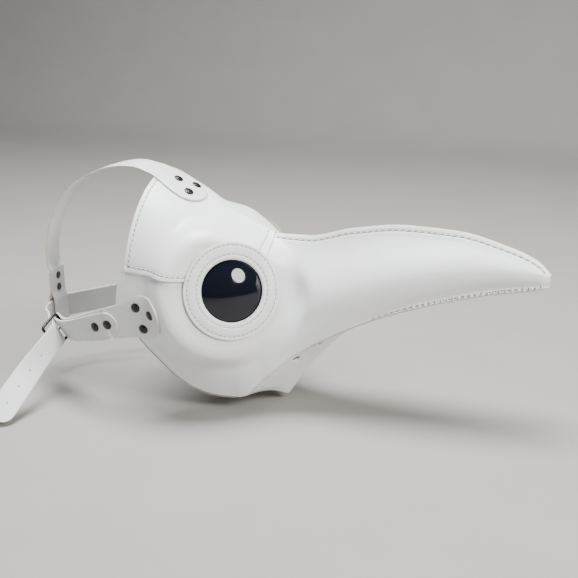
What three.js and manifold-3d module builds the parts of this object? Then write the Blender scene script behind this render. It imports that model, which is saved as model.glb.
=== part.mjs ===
// Plague doctor mask: a leather half mask with a long drooping beak, two round smoked lenses and
// a riveted harness that buckles behind the wearer's right ear.
//
// Millimetres. The origin is the middle of the wearer's head at eye level, +X runs forward along
// the beak, +Y to the wearer's left and +Z up. The right half of the mask is at negative Y.

import * as THREE from 'three';
import { mergeVertices } from 'three/addons/utils/BufferGeometryUtils.js';
import Module from 'manifold-3d';

const wasm = await Module();
wasm.setup();

// ---------------------------------------------------------------- driving dimensions

// The shell.
const MASK_WIDTH = 168; // across the temples, inside the leather
const MASK_HEIGHT = 230; // from the chin's lowest edge to the top of the head
const FACE_DEPTH = 190; // from the middle of the head to the root of the beak
const BEAK_LENGTH = 231; // from the root of the beak to its tip
const LEATHER = 1.8; // thickness of every leather piece
const GAP = 0.3; // clearance between pieces that touch
const SEAM_HEIGHT = 19; // lower edge of the forehead panel at the temple
const SEAM_FALL = 0.08; // how much that edge drops for each millimetre forward
const SEAM_LAP = 11; // how far the side panels run on under the forehead panel
const SKIVE = 0.8; // how much the leather is thinned there
const SKIVE_RUN = 0.1; // share of the half section over which that runs out
const FRONT_SEAM_X = 156; // front edge of the forehead panel
const FOREHEAD_REAR_X = 31; // rear edge of the forehead panel at the temple
const FOREHEAD_PEAK = 7; // how much further forward that edge is at the crown
const CHEEK_LEAN = 12; // how much further forward the cheek's rear edge is at its top

// The eyes.
const LENS_RADIUS = 30; // the part of the lens that shows
const LENS_FLANGE = 3.9; // the lens's rim, held between the ring and the backing
const LENS_WALL = 1.5;
const LENS_DOME = 8; // height of the dome above its straight collar
const LENS_COLLAR = 1.9; // height of the collar above the rim
const RING_WIDTH = 17; // the leather ring around the lens
const RING_TOP = 5.8; // height of the ring's face above the inside of the side panel
const BACKING_INNER = 28.5;
const BACKING_OUTER = 40;
const BACKING_THICK = 1.4;
const EYE_X = 130; // the middle of the lens
const EYE_DROP = 0.368; // its place down the half section, 0 at the ridge and 1 at the foot
const EYE_YAW = 36; // degrees that the lens looks forward of straight sideways
const EYE_PITCH = 12; // degrees that it looks up
const EYE_FLAT = 50; // radius of the flat that is pressed into the skin for the ring
const EYE_BLEND = 26; // width of the band in which that flat runs out
const EYE_CREST = 0.12; // share of the half section, below the ridge, over which it also runs out

// The gusset under the beak.
const CREASE_LEAD = 36; // how far the crease's end is in front of the corners of the chin
const CREASE_DROP = 43; // how far the crease hangs below the seam at its rear end
const CREASE_REACH = 44; // how far forward it is still a third as deep
const CREASE_LEAST = 2.4;
const GUSSET_END = 9; // from the gusset's front end to the tip
const GUSSET_SWEEP = 6; // how far the rear edge is drawn up between corner and crease
const VENT_RADIUS = 4.4;
const VENT_FIRST = 0.175; // place of the rearmost vent along the gusset
const VENT_STEP = 0.086;
const VENT_COUNT = 3;
const VENT_ACROSS = 0.8; // place across, 0 at the crease and 1 at the seam

// The harness.
const STRAP_WIDTH = 25;
const PADDLE_RADIUS = 21.5; // the round end that carries three rivets
const NECK_WIDTH = 34; // a side strap where the paddle's curve ends
const NECK_LENGTH = 26; // from the middle of the paddle to there
const TAPER_LENGTH = 112; // from the middle of the paddle to where the strap has its own width
const SIDE_PADDLE_X = 51.5;
const SIDE_PADDLE_Z = -24;
const SIDE_FALL = 0.296; // how much the side straps drop for each millimetre rearward
const CROWN_PADDLE_X = 64;
const CROWN_SET_OVER = 9; // how far right of the middle the crown strap is riveted
const CROWN_TAPER = 52; // from the middle of its paddle to where it has the strap's width
const FLAP_END_X = 21; // front end of the leather folded back over itself
const HOLE_RADIUS = 1.1; // punched holes of the long strap
const HOLE_PITCH = 19.5;
const HOLE_FIRST = 23; // from the buckle's front bar to the first free hole
const HOLE_COUNT = 4;
const TAIL_LENGTH = 100; // free end beyond the buckle
const TAIL_SAG = 9; // how far that end droops
const CROWN_BACK_X = -94; // the crown strap where it meets the rear strap
const REAR_Z = -57; // height of the rear strap behind the head

// The buckle.
const WIRE_RADIUS = 1.5;
const BUCKLE_REACH = 23; // from the heel bar to the front bar
const BUCKLE_SIDE_GAP = 1; // between the strap's edge and the frame
const PRONG_RADIUS = 0.8;
const PRONG_WIDTH = 3; // width of the prong's eye
const TAIL_RIDE = 6.2; // height of the strap above the bars' middle where it crosses the front bar

// The rivets.
const RIVET_RADIUS = 4.8;
const RIVET_HEIGHT = 1.9;
const RIVET_SHANK = 1.5;
const RIVET_BACK = 4;
const RIVET_BACK_HEIGHT = 0.9;
const SIDE_RIVETS = [
  { along: 9.5, across: 1 },
  { along: -5, across: 11 },
  { along: -5, across: -11 },
];
const CROWN_RIVETS = [
  { along: -9, across: 0 },
  { along: 6, across: -9.5 },
  { along: 6, across: 9.5 },
];
const FLAP_RIVETS = [10, -6]; // X of the two rivets that close the fold at the buckle
const CROWN_LOOP_RIVETS = [-31, -18]; // Z of the two that close the loop behind the head

// Half sections across the mask, from the middle of the head (at 0) over the root of the beak
// (at 1) to the tip (at 2). Heights are shares of MASK_HEIGHT and widths of half MASK_WIDTH:
// the top, the waist where it is widest, and the foot. The skin leaves the top at the angle rise
// and reaches the foot at the angle tuck, and full says how far it bellies out in between.
const SECTION_COLUMNS = ['at', 'top', 'wide', 'waist', 'foot', 'footWide', 'rise', 'tuck', 'full'];
const SECTIONS = [
  [0.0, 0.486, 0.93, -0.013, -0.513, 0.66, 0, 12, 0.62],
  [0.195, 0.442, 0.98, -0.03, -0.513, 0.64, 0, 12, 0.6],
  [0.316, 0.392, 1.0, -0.043, -0.513, 0.62, 0, 12, 0.58],
  [0.526, 0.3, 0.95, -0.087, -0.504, 0.56, 8, 12, 0.52],
  [0.695, 0.24, 0.74, -0.122, -0.489, 0.5, 30, 14, 0.48],
  [0.832, 0.2, 0.51, -0.165, -0.38, 0.476, 46, 20, 0.45],
  [1.0, 0.202, 0.41, -0.122, -0.258, 0.39, 66, 26, 0.46],
  [1.195, 0.249, 0.387, -0.052, -0.142, 0.33, 74, 32, 0.47],
  [1.411, 0.277, 0.35, 0.03, -0.041, 0.265, 72, 36, 0.5],
  [1.628, 0.268, 0.272, 0.093, 0.024, 0.18, 68, 36, 0.5],
  [1.823, 0.221, 0.172, 0.117, 0.066, 0.098, 64, 34, 0.5],
  [1.952, 0.167, 0.083, 0.111, 0.08, 0.038, 60, 30, 0.48],
  [2.0, 0.12, 0.014, 0.1, 0.086, 0.01, 60, 30, 0.45],
];
const WAIST_STATION = 0.5; // place of the waist down the half section

// The cheek's free edge from its rear corner to the chin: shares of FACE_DEPTH and MASK_HEIGHT.
const CHIN_AT = 0.695;
const JAW = [
  { at: 0.105, z: -0.07 },
  { at: 0.237, z: -0.222 },
  { at: 0.311, z: -0.307 },
  { at: 0.387, z: -0.396 },
  { at: 0.474, z: -0.452 },
  { at: 0.568, z: -0.48 },
  { at: CHIN_AT, z: -0.489 },
];

// Mesh fineness.
const PANEL_COLUMNS = 36;
const PANEL_ROWS = 8;
const FOREHEAD_COLUMNS = 14;
const FOREHEAD_ROWS = 14;
const GUSSET_COLUMNS = 22;
const GUSSET_ROWS = 6;
const ROUND = 28;
const LENS_ROUND = 24;
const LENS_RINGS = 4;
const SMALL_ROUND = 8;
const STRAP_COLUMNS = 4;
const CROWN_STEPS = 18;
const REAR_STEPS = 42;
const TAB_STEPS = 11;

// ---------------------------------------------------------------- small helpers

const RIGHT = -1;
const LEFT = 1;
const SMALL = 0.01;
const degrees = THREE.MathUtils.degToRad;
const { lerp, clamp, smoothstep } = THREE.MathUtils;
const vec = (x, y, z) => new THREE.Vector3(x, y, z);
const step = (point, direction, length) => point.clone().addScaledVector(direction, length);

// A smooth curve through values that never overshoots them.
function smoothThrough(xs, ys) {
  const gaps = xs.slice(1).map((x, i) => x - xs[i]);
  const slopes = gaps.map((gap, i) => (ys[i + 1] - ys[i]) / gap);
  const tangents = xs.map((_, i) => {
    if (i === 0) return slopes[0];
    if (i === xs.length - 1) return slopes[i - 1];
    if (slopes[i - 1] * slopes[i] <= 0) return 0;
    const before = 2 * gaps[i] + gaps[i - 1];
    const after = gaps[i] + 2 * gaps[i - 1];
    return (before + after) / (before / slopes[i - 1] + after / slopes[i]);
  });
  return (value) => {
    const x = clamp(value, xs[0], xs[xs.length - 1]);
    let i = xs.findIndex((limit) => limit > x) - 1;
    if (i < 0) i = xs.length - 2;
    const t = (x - xs[i]) / gaps[i];
    const rest = 1 - t;
    return ys[i] * (1 + 2 * t) * rest * rest + ys[i + 1] * (3 - 2 * t) * t * t
      + gaps[i] * t * rest * (tangents[i] * rest - tangents[i + 1] * t);
  };
}

function bezier(a, b, c, d, t) {
  const r = 1 - t;
  return r * r * r * a + 3 * r * r * t * b + 3 * r * t * t * c + t * t * t * d;
}

// The share between 0 and 1 at which a rising function reaches a value.
function solve(rising, value) {
  let low = 0;
  let high = 1;
  for (let i = 0; i < 40; i += 1) {
    const middle = (low + high) / 2;
    if (rising(middle) < value) low = middle;
    else high = middle;
  }
  return (low + high) / 2;
}

function volumeOf(positions, triangles) {
  const a = vec();
  const b = vec();
  const c = vec();
  let sum = 0;
  for (let i = 0; i < triangles.length; i += 3) {
    a.fromArray(positions, 3 * triangles[i]);
    b.fromArray(positions, 3 * triangles[i + 1]);
    c.fromArray(positions, 3 * triangles[i + 2]);
    sum += a.dot(b.cross(c));
  }
  return sum / 6;
}

function bodyFrom(positions, triangles) {
  const outward = volumeOf(positions, triangles) > 0;
  const index = [];
  for (let i = 0; i < triangles.length; i += 3) {
    const [a, b, c] = triangles.slice(i, i + 3);
    index.push(...(outward ? [a, b, c] : [a, c, b]));
  }
  const geometry = new THREE.BufferGeometry();
  geometry.setAttribute('position', new THREE.Float32BufferAttribute(positions, 3));
  geometry.setIndex(index);
  return geometry;
}

// A closed sheet between two grids of points, upper[i][j] over lower[i][j].
function closedSheet(upper, lower) {
  const rows = upper.length;
  const columns = upper[0].length;
  const positions = [];
  [...upper.flat(), ...lower.flat()].forEach(({ x, y, z }) => positions.push(x, y, z));
  const top = (i, j) => i * columns + j;
  const bottom = (i, j) => rows * columns + i * columns + j;
  const triangles = [];
  const quad = (a, b, c, d) => triangles.push(a, b, c, a, c, d);
  for (let i = 0; i < rows - 1; i += 1) {
    for (let j = 0; j < columns - 1; j += 1) {
      quad(top(i, j), top(i + 1, j), top(i + 1, j + 1), top(i, j + 1));
      quad(bottom(i, j), bottom(i, j + 1), bottom(i + 1, j + 1), bottom(i + 1, j));
    }
    quad(bottom(i, 0), bottom(i + 1, 0), top(i + 1, 0), top(i, 0));
    quad(top(i, columns - 1), top(i + 1, columns - 1), bottom(i + 1, columns - 1), bottom(i, columns - 1));
  }
  for (let j = 0; j < columns - 1; j += 1) {
    quad(top(0, j), top(0, j + 1), bottom(0, j + 1), bottom(0, j));
    quad(bottom(rows - 1, j), bottom(rows - 1, j + 1), top(rows - 1, j + 1), top(rows - 1, j));
  }
  return bodyFrom(positions, triangles);
}

function solidOf(geometry) {
  const bare = geometry.clone();
  bare.deleteAttribute('normal');
  bare.deleteAttribute('uv');
  const merged = mergeVertices(bare, 1e-4);
  return new wasm.Manifold(new wasm.Mesh({
    numProp: 3,
    vertProperties: new Float32Array(merged.attributes.position.array),
    triVerts: new Uint32Array(merged.index.array),
  }));
}

function geometryOf(solid) {
  const mesh = solid.getMesh();
  const geometry = new THREE.BufferGeometry();
  geometry.setAttribute('position', new THREE.BufferAttribute(mesh.vertProperties, 3));
  geometry.setIndex(new THREE.BufferAttribute(mesh.triVerts, 1));
  return geometry;
}

const cut = (geometry, tools) => geometryOf(
  tools.reduce((left, tool) => left.subtract(solidOf(tool)), solidOf(geometry)),
);
const join = (parts) => geometryOf(
  parts.map(solidOf).reduce((sum, part) => sum.add(part)),
);

// A turned shape whose axis starts at a point and runs along a direction. Its profile is
// a list of [radius, height] pairs that closes on itself.
function turned(profile, origin, axis, segments = ROUND) {
  const points = [...profile, profile[0]].map(([radius, height]) => new THREE.Vector2(radius, height));
  const geometry = new THREE.LatheGeometry(points, segments);
  geometry.applyQuaternion(new THREE.Quaternion().setFromUnitVectors(vec(0, 1, 0), axis));
  geometry.translate(origin.x, origin.y, origin.z);
  const merged = mergeVertices(barePositions(geometry), 1e-4);
  return bodyFrom([...merged.attributes.position.array], [...merged.index.array]);
}

function barePositions(geometry) {
  geometry.deleteAttribute('normal');
  geometry.deleteAttribute('uv');
  return geometry;
}

// A plain round tool from one height to another along an axis.
function drill(radius, origin, axis, from, to, segments = ROUND) {
  const geometry = new THREE.CylinderGeometry(radius, radius, to - from, segments);
  geometry.translate(0, (from + to) / 2, 0);
  geometry.applyQuaternion(new THREE.Quaternion().setFromUnitVectors(vec(0, 1, 0), axis));
  return geometry.translate(origin.x, origin.y, origin.z);
}

const mirrored = (side) => (point) => vec(point.x, -side * point.y, point.z);

// ---------------------------------------------------------------- the skin

const BEAK_TIP_X = FACE_DEPTH + BEAK_LENGTH;
const CHIN_X = CHIN_AT * FACE_DEPTH;
const stationX = (at) => (at < 1 ? at * FACE_DEPTH : FACE_DEPTH + (at - 1) * BEAK_LENGTH);
const sectionPlaces = SECTIONS.map(([at]) => stationX(at));
const sectionValue = Object.fromEntries(SECTION_COLUMNS.map((name, column) => [
  name,
  smoothThrough(sectionPlaces, SECTIONS.map((row) => row[column])),
]));
const sectionHeight = (name, x) => sectionValue[name](x) * MASK_HEIGHT;
const sectionHalf = (name, x) => (sectionValue[name](x) * MASK_WIDTH) / 2;

// A point of the right half's inner face before the eye's flat is pressed in. The station runs
// from 0 at the top over the waist to 1 at the foot.
function plainSkin(x, station) {
  const top = sectionHeight('top', x);
  const waist = sectionHeight('waist', x);
  const foot = sectionHeight('foot', x);
  const wide = sectionHalf('wide', x) + GAP / 2;
  const footWide = sectionHalf('footWide', x) + GAP / 2;
  const full = sectionValue.full(x);
  const rise = degrees(sectionValue.rise(x));
  const tuck = degrees(sectionValue.tuck(x));
  if (station < WAIST_STATION) {
    const t = station / WAIST_STATION;
    const reach = full * Math.hypot(wide * Math.cos(rise), (top - waist) * Math.sin(rise));
    const start = GAP / 2;
    const y = bezier(start, start + reach * Math.cos(rise), wide, wide, t);
    const z = bezier(top, top - reach * Math.sin(rise), waist + full * (top - waist), waist, t);
    return vec(x, -y, z);
  }
  const t = (station - WAIST_STATION) / (1 - WAIST_STATION);
  const fall = waist - foot;
  const y = bezier(wide, wide, footWide + 0.38 * fall * Math.sin(tuck), footWide, t);
  const z = bezier(waist, waist - 0.42 * fall, foot + 0.38 * fall * Math.cos(tuck), foot, t);
  return vec(x, -y, z);
}

const yaw = degrees(EYE_YAW);
const pitch = degrees(EYE_PITCH);
const EYE = plainSkin(EYE_X, EYE_DROP);
const EYE_AXIS = vec(Math.sin(yaw) * Math.cos(pitch), -Math.cos(yaw) * Math.cos(pitch), Math.sin(pitch));

function rightSkin(x, station) {
  const point = plainSkin(x, station);
  const offset = point.clone().sub(EYE);
  const height = offset.dot(EYE_AXIS);
  const away = step(offset, EYE_AXIS, -height).length();
  const near = 1 - smoothstep(away, EYE_FLAT, EYE_FLAT + EYE_BLEND);
  const press = near * smoothstep(station, 0, EYE_CREST);
  point.y -= (press * height) / EYE_AXIS.y;
  return point;
}

function rightNormal(x, station) {
  const along = rightSkin(x + SMALL, station).sub(rightSkin(x - SMALL, station));
  const down = rightSkin(x, Math.min(station + SMALL, 1)).sub(rightSkin(x, Math.max(station - SMALL, 0)));
  return down.cross(along).normalize();
}

// A point of either half at a height above the inner face.
function skin(side, x, station, height) {
  const point = step(rightSkin(x, station), rightNormal(x, station), height);
  return side === RIGHT ? point : mirrored(LEFT)(point);
}

const stationAtZ = (x, z) => solve((station) => -rightSkin(x, station).z, -z);
const stationAtY = (x, y) => WAIST_STATION * solve((share) => -plainSkin(x, share * WAIST_STATION).y, y);

function skinNormal(side, x, station) {
  const normal = rightNormal(x, station);
  return side === RIGHT ? normal : mirrored(LEFT)(normal);
}

// ---------------------------------------------------------------- the panels

const UNDER = LEATHER + GAP; // underside of the second layer
const OVER = UNDER + LEATHER; // face of the second layer
const THIRD = OVER + GAP; // underside of the third layer

const seamHeight = (x) => SEAM_HEIGHT - SEAM_FALL * (x - FOREHEAD_REAR_X);
const seamStation = (x) => stationAtZ(x, seamHeight(x));
const lapStation = (x) => stationAtZ(x, seamHeight(x) + SEAM_LAP);

const jawHeight = smoothThrough(
  JAW.map((row) => row.at * FACE_DEPTH),
  JAW.map((row) => row.z * MASK_HEIGHT),
);
const CHEEK_REAR_X = JAW[0].at * FACE_DEPTH;

// The upper edge of a side panel follows the forehead seam to the lens and then climbs to the
// ridge of the beak, under the forehead panel's front edge.
function panelTop(x) {
  const climb = smoothstep(x, EYE_X - LENS_RADIUS, FRONT_SEAM_X - SEAM_LAP);
  return lerp(lapStation(x), 0, climb);
}

const panelFoot = (x) => (x < CHIN_X ? Math.min(stationAtZ(x, jawHeight(x)), 1) : 1);

// How much of the leather is left at a point: it is skived thin where the forehead panel covers it.
function leftOver(x, station) {
  const bare = seamStation(x) - station;
  const covered = x < FRONT_SEAM_X + SEAM_LAP && bare > -SKIVE_RUN;
  return covered ? LEATHER - SKIVE * smoothstep(bare, -SKIVE_RUN, 0) : LEATHER;
}

function sidePanel(side) {
  const grid = (outer) => Array.from({ length: PANEL_COLUMNS + 1 }, (_, i) => {
    const x = lerp(CHEEK_REAR_X, BEAK_TIP_X, i / PANEL_COLUMNS);
    return Array.from({ length: PANEL_ROWS + 1 }, (__, j) => {
      const share = j / PANEL_ROWS;
      const leaning = 1 - smoothstep(x, CHEEK_REAR_X, CHEEK_REAR_X + 5 * CHEEK_LEAN);
      const lean = CHEEK_LEAN * (1 - share) ** 2 * leaning;
      const station = lerp(panelTop(x), panelFoot(x), share);
      return skin(side, x + lean, station, outer ? leftOver(x + lean, station) : 0);
    });
  });
  return closedSheet(grid(true), grid(false));
}

function foreheadSheet(low, high, grow) {
  const grid = (height) => Array.from({ length: FOREHEAD_COLUMNS + 1 }, (_, i) => (
    Array.from({ length: FOREHEAD_ROWS + 1 }, (__, j) => {
      const across = (2 * j) / FOREHEAD_ROWS - 1;
      const peak = FOREHEAD_PEAK * (1 - across * across);
      const x = lerp(FOREHEAD_REAR_X + peak, FRONT_SEAM_X + grow, i / FOREHEAD_COLUMNS);
      const seam = stationAtZ(x, seamHeight(x) - grow);
      const station = Math.abs(across) * seam;
      const point = skin(across < 0 ? RIGHT : LEFT, x, station, height);
      if (across === 0) return middlePoint(x, height);
      return point;
    })
  ));
  return closedSheet(grid(high), grid(low));
}

// The skin's crest line at a height above the inner face.
function middlePoint(x, height) {
  const normal = rightNormal(x, 0);
  const lift = vec(normal.x, 0, normal.z).normalize();
  const point = rightSkin(x, 0);
  return step(vec(x, 0, point.z), lift, height);
}

const eyeOf = (side) => (side === RIGHT ? EYE : mirrored(LEFT)(EYE));
const eyeAxisOf = (side) => (side === RIGHT ? EYE_AXIS : mirrored(LEFT)(EYE_AXIS));
const LENS_SEAT = LENS_RADIUS + LENS_FLANGE + GAP;
const FOREHEAD_SCOOP = LENS_SEAT + 4; // the forehead panel stops here, under the ring
const eyeDrill = (side, radius) => drill(radius, eyeOf(side), eyeAxisOf(side), -20, 20);

function eyeRing(side) {
  const inner = LENS_RADIUS + GAP;
  const outer = LENS_RADIUS + RING_WIDTH + GAP;
  const chamfer = 0.5;
  const ring = turned([
    [inner, UNDER],
    [outer, UNDER],
    [outer, RING_TOP - chamfer],
    [outer - chamfer, RING_TOP],
    [inner + chamfer, RING_TOP],
    [inner, RING_TOP - chamfer],
  ], eyeOf(side), eyeAxisOf(side));
  const recess = cut(foreheadSheet(LEATHER, THIRD, GAP), [eyeDrill(side, FOREHEAD_SCOOP - GAP)]);
  return cut(ring, [recess]);
}

function lens(side) {
  const shoulder = LEATHER + LENS_COLLAR;
  const capPoints = (radius, base, rise, count) => Array.from({ length: count + 1 }, (_, i) => {
    const ball = (radius * radius + rise * rise) / (2 * rise);
    const reach = Math.asin(radius / ball);
    const angle = reach * (1 - i / count);
    return [i === count ? 0 : ball * Math.sin(angle), base + ball * Math.cos(angle) - ball + rise];
  });
  const hollow = LENS_RADIUS - LENS_WALL;
  const outerCap = capPoints(LENS_RADIUS, shoulder, LENS_DOME, LENS_RINGS);
  const innerCap = capPoints(hollow, shoulder - LENS_WALL / 3, LENS_DOME - LENS_WALL, LENS_RINGS).reverse();
  return turned([
    [LENS_RADIUS + LENS_FLANGE, 0],
    [LENS_RADIUS + LENS_FLANGE, LEATHER],
    [LENS_RADIUS, LEATHER],
    ...outerCap,
    ...innerCap,
    [LENS_RADIUS - LENS_WALL, 0],
  ], eyeOf(side), eyeAxisOf(side), LENS_ROUND);
}

function eyeBacking(side) {
  return turned([
    [BACKING_INNER, -GAP - BACKING_THICK],
    [BACKING_OUTER, -GAP - BACKING_THICK],
    [BACKING_OUTER, -GAP],
    [BACKING_INNER, -GAP],
  ], eyeOf(side), eyeAxisOf(side), LENS_ROUND);
}

// ---------------------------------------------------------------- the gusset

const GUSSET_FRONT_X = BEAK_TIP_X - GUSSET_END;

// A point of the gusset's upper face: along from the rear edge to the front end, and across from
// 0 at the crease to 1 at the seam. It is folded down along the crease like a keel.
function gussetPoint(side, along, across) {
  const seamX = lerp(CHIN_X, GUSSET_FRONT_X, along);
  const creaseX = seamX + CREASE_LEAD * (1 - along) ** 3;
  const seam = rightSkin(seamX, 1);
  const ahead = (creaseX - CHIN_X - CREASE_LEAD) / CREASE_REACH;
  const drop = CREASE_LEAST + (CREASE_DROP - CREASE_LEAST) * Math.exp(-(Math.max(ahead, 0) ** 1.3));
  const fade = clamp((1 - along) * 8, 0, 1);
  const crease = vec(creaseX, 0, rightSkin(creaseX, 1).z - drop * fade);
  const edge = vec(seam.x, seam.y + GAP, seam.z);
  const point = edge.lerp(crease, 1 - across);
  const sweep = GUSSET_SWEEP * 4 * across * (1 - across) * Math.exp(-14 * along);
  point.x += 0.4 * sweep;
  point.z += sweep;
  return side === RIGHT ? point : mirrored(LEFT)(point);
}

function gussetNormal(side, along, across) {
  const inside = (value) => clamp(value, 0, 1);
  const forward = gussetPoint(RIGHT, inside(along + SMALL), across);
  forward.sub(gussetPoint(RIGHT, inside(along - SMALL), across));
  const outward = gussetPoint(RIGHT, along, inside(across + SMALL));
  outward.sub(gussetPoint(RIGHT, along, inside(across - SMALL)));
  const normal = forward.cross(outward).normalize();
  if (normal.z < 0) normal.negate();
  return side === RIGHT ? normal : mirrored(LEFT)(normal);
}

function gussetSheet() {
  const grid = (height) => Array.from({ length: GUSSET_COLUMNS + 1 }, (_, i) => (
    Array.from({ length: GUSSET_ROWS + 1 }, (__, j) => {
      const along = i / GUSSET_COLUMNS;
      const across = (2 * j) / GUSSET_ROWS - 1;
      const side = across < 0 ? RIGHT : LEFT;
      const normal = gussetNormal(side, along, Math.abs(across));
      if (across === 0) normal.set(normal.x, 0, normal.z).normalize();
      return step(gussetPoint(side, along, Math.abs(across)), normal, height);
    })
  ));
  return closedSheet(grid(LEATHER), grid(0));
}

function beakGusset() {
  const tools = [];
  [RIGHT, LEFT].forEach((side) => {
    for (let i = 0; i < VENT_COUNT; i += 1) {
      const along = VENT_FIRST + i * VENT_STEP;
      const origin = gussetPoint(side, along, VENT_ACROSS);
      tools.push(drill(VENT_RADIUS, origin, gussetNormal(side, along, VENT_ACROSS), -6, 8, SMALL_ROUND));
    }
  });
  return cut(gussetSheet(), tools);
}

// ---------------------------------------------------------------- straps

// Half the width of a side strap at a distance behind the middle of its round paddle.
function sideHalf(behind) {
  if (behind <= 0) return Math.sqrt(PADDLE_RADIUS ** 2 - behind ** 2);
  if (behind < NECK_LENGTH) return lerp(PADDLE_RADIUS, NECK_WIDTH / 2, smoothstep(behind, 0, NECK_LENGTH));
  const share = clamp((behind - NECK_LENGTH) / (TAPER_LENGTH - NECK_LENGTH), 0, 1);
  return lerp(NECK_WIDTH / 2, STRAP_WIDTH / 2, share);
}

// The same for the crown strap, which narrows sooner.
function crownHalf(behind) {
  if (behind <= 0) return Math.sqrt(PADDLE_RADIUS ** 2 - behind ** 2);
  return lerp(PADDLE_RADIUS, STRAP_WIDTH / 2, smoothstep(behind, 0, CROWN_TAPER));
}

// Distances at which a round end of a given radius is sampled, from its far end to its middle.
const roundEnd = (radius, count) => Array.from({ length: count }, (_, i) => (
  -radius * Math.cos((Math.PI / 2) * ((i + 0.5) / count))
));

// A strap from rows that each hold a centre, a direction across, a normal and half a width.
function ribbon(rows, thickness = LEATHER) {
  const grid = (height) => rows.map((row) => Array.from({ length: STRAP_COLUMNS + 1 }, (_, j) => {
    const across = row.half * ((2 * j) / STRAP_COLUMNS - 1);
    return row.at(across, height);
  }));
  return closedSheet(grid(thickness / 2), grid(-thickness / 2));
}

const flatRow = (centre, across, normal, half) => ({
  half,
  at: (offset, height) => step(step(centre, across, offset), normal, height),
});

// A row that follows a curve: its width runs as near to a wanted direction as it can, and its
// normal points away from the head, as face says.
function rowOnCurve(curve, share, wanted, half, face = 1) {
  const tangent = curve.getTangentAt(share);
  const across = step(wanted, tangent, -wanted.dot(tangent)).normalize();
  const normal = across.clone().cross(tangent).multiplyScalar(face).normalize();
  return flatRow(curve.getPointAt(share), across, normal, half);
}

// The buckle's own frame: the heel bar, the way the frame hangs from it, and its face.
const HEEL_ACROSS = vec(0.24, 0.416, -0.879).normalize();
const BUCKLE_RAW = vec(-0.15, -0.86, -0.49);
const BUCKLE_WAY = step(BUCKLE_RAW, HEEL_ACROSS, -BUCKLE_RAW.dot(HEEL_ACROSS)).normalize();
const BUCKLE_FACE = BUCKLE_WAY.clone().cross(HEEL_ACROSS).normalize();
const HEEL = vec(-64, -0.268 * MASK_WIDTH, -56);
const buckleSpot = (way, face) => step(step(HEEL, BUCKLE_WAY, way), BUCKLE_FACE, face);

const sideLineZ = (x) => SIDE_PADDLE_Z + SIDE_FALL * (x - SIDE_PADDLE_X);
const SIDE_SLOPE = Math.hypot(1, SIDE_FALL);
const SECOND_MIDDLE = (UNDER + OVER) / 2;
const DRAPE_REAR_X = 8; // behind this the side straps leave the cheek's line

// A row of a side strap lying on the cheek, height measured from the strap's middle.
function cheekRow(side, x, half, middle) {
  const along = vec(1, 0, SIDE_FALL).divideScalar(SIDE_SLOPE);
  return {
    half,
    at: (offset, height) => {
      const spotX = x + offset * along.z;
      const spotZ = sideLineZ(x) - offset * along.x;
      return skin(side, spotX, stationAtZ(spotX, spotZ), middle + height);
    },
  };
}

function cheekPoint(side, x, height) {
  return skin(side, x, stationAtZ(x, sideLineZ(x)), height);
}

function paddleRows(count) {
  const rows = roundEnd(PADDLE_RADIUS, count);
  const straight = (SIDE_PADDLE_X - DRAPE_REAR_X) * SIDE_SLOPE;
  for (let i = 0; i <= 5; i += 1) rows.push((straight * i) / 5);
  return rows;
}

// Rows of a side strap from the tip of its paddle to where it leaves the cheek.
const sidePaddle = (side, middle) => paddleRows(6).map((behind) => (
  cheekRow(side, SIDE_PADDLE_X - behind / SIDE_SLOPE, sideHalf(behind), middle)
));

// The right strap: riveted to the cheek, it runs back to the buckle, folds round its heel bar
// and comes back over itself.
const TAB_ARRIVAL = vec(-0.54, 0.82, -0.2);
const TAB_IN = step(TAB_ARRIVAL, HEEL_ACROSS, -TAB_ARRIVAL.dot(HEEL_ACROSS)).normalize();
const LAYER_HALF = (LEATHER + GAP) / 2; // from the middle of a folded pair to each layer
const LOOP_RADIUS = WIRE_RADIUS + GAP + LEATHER / 2;
const OPEN_LENGTH = 0.62; // share of the free stretch over which the fold opens to the bar

function tabCurve() {
  const start = cheekPoint(RIGHT, DRAPE_REAR_X, SECOND_MIDDLE + LAYER_HALF);
  const before = cheekPoint(RIGHT, DRAPE_REAR_X + 4, SECOND_MIDDLE + LAYER_HALF);
  const leave = start.clone().sub(before).normalize();
  const reach = start.distanceTo(HEEL) / 3;
  return new THREE.CubicBezierCurve3(start, step(start, leave, reach), step(HEEL, TAB_IN, -reach), HEEL);
}

function tabRow(curve, share, half, outer) {
  const turn = smoothstep(share, 0, 1);
  const start = vec(SIDE_FALL, 0, -1).normalize();
  const wanted = start.lerp(HEEL_ACROSS, turn).normalize();
  const open = lerp(LAYER_HALF, LOOP_RADIUS, smoothstep(share, 1 - OPEN_LENGTH, 1));
  const row = rowOnCurve(curve, share, wanted, half, RIGHT);
  const away = outer ? open : -open;
  return { half, at: (offset, height) => row.at(offset, height + away) };
}

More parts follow.
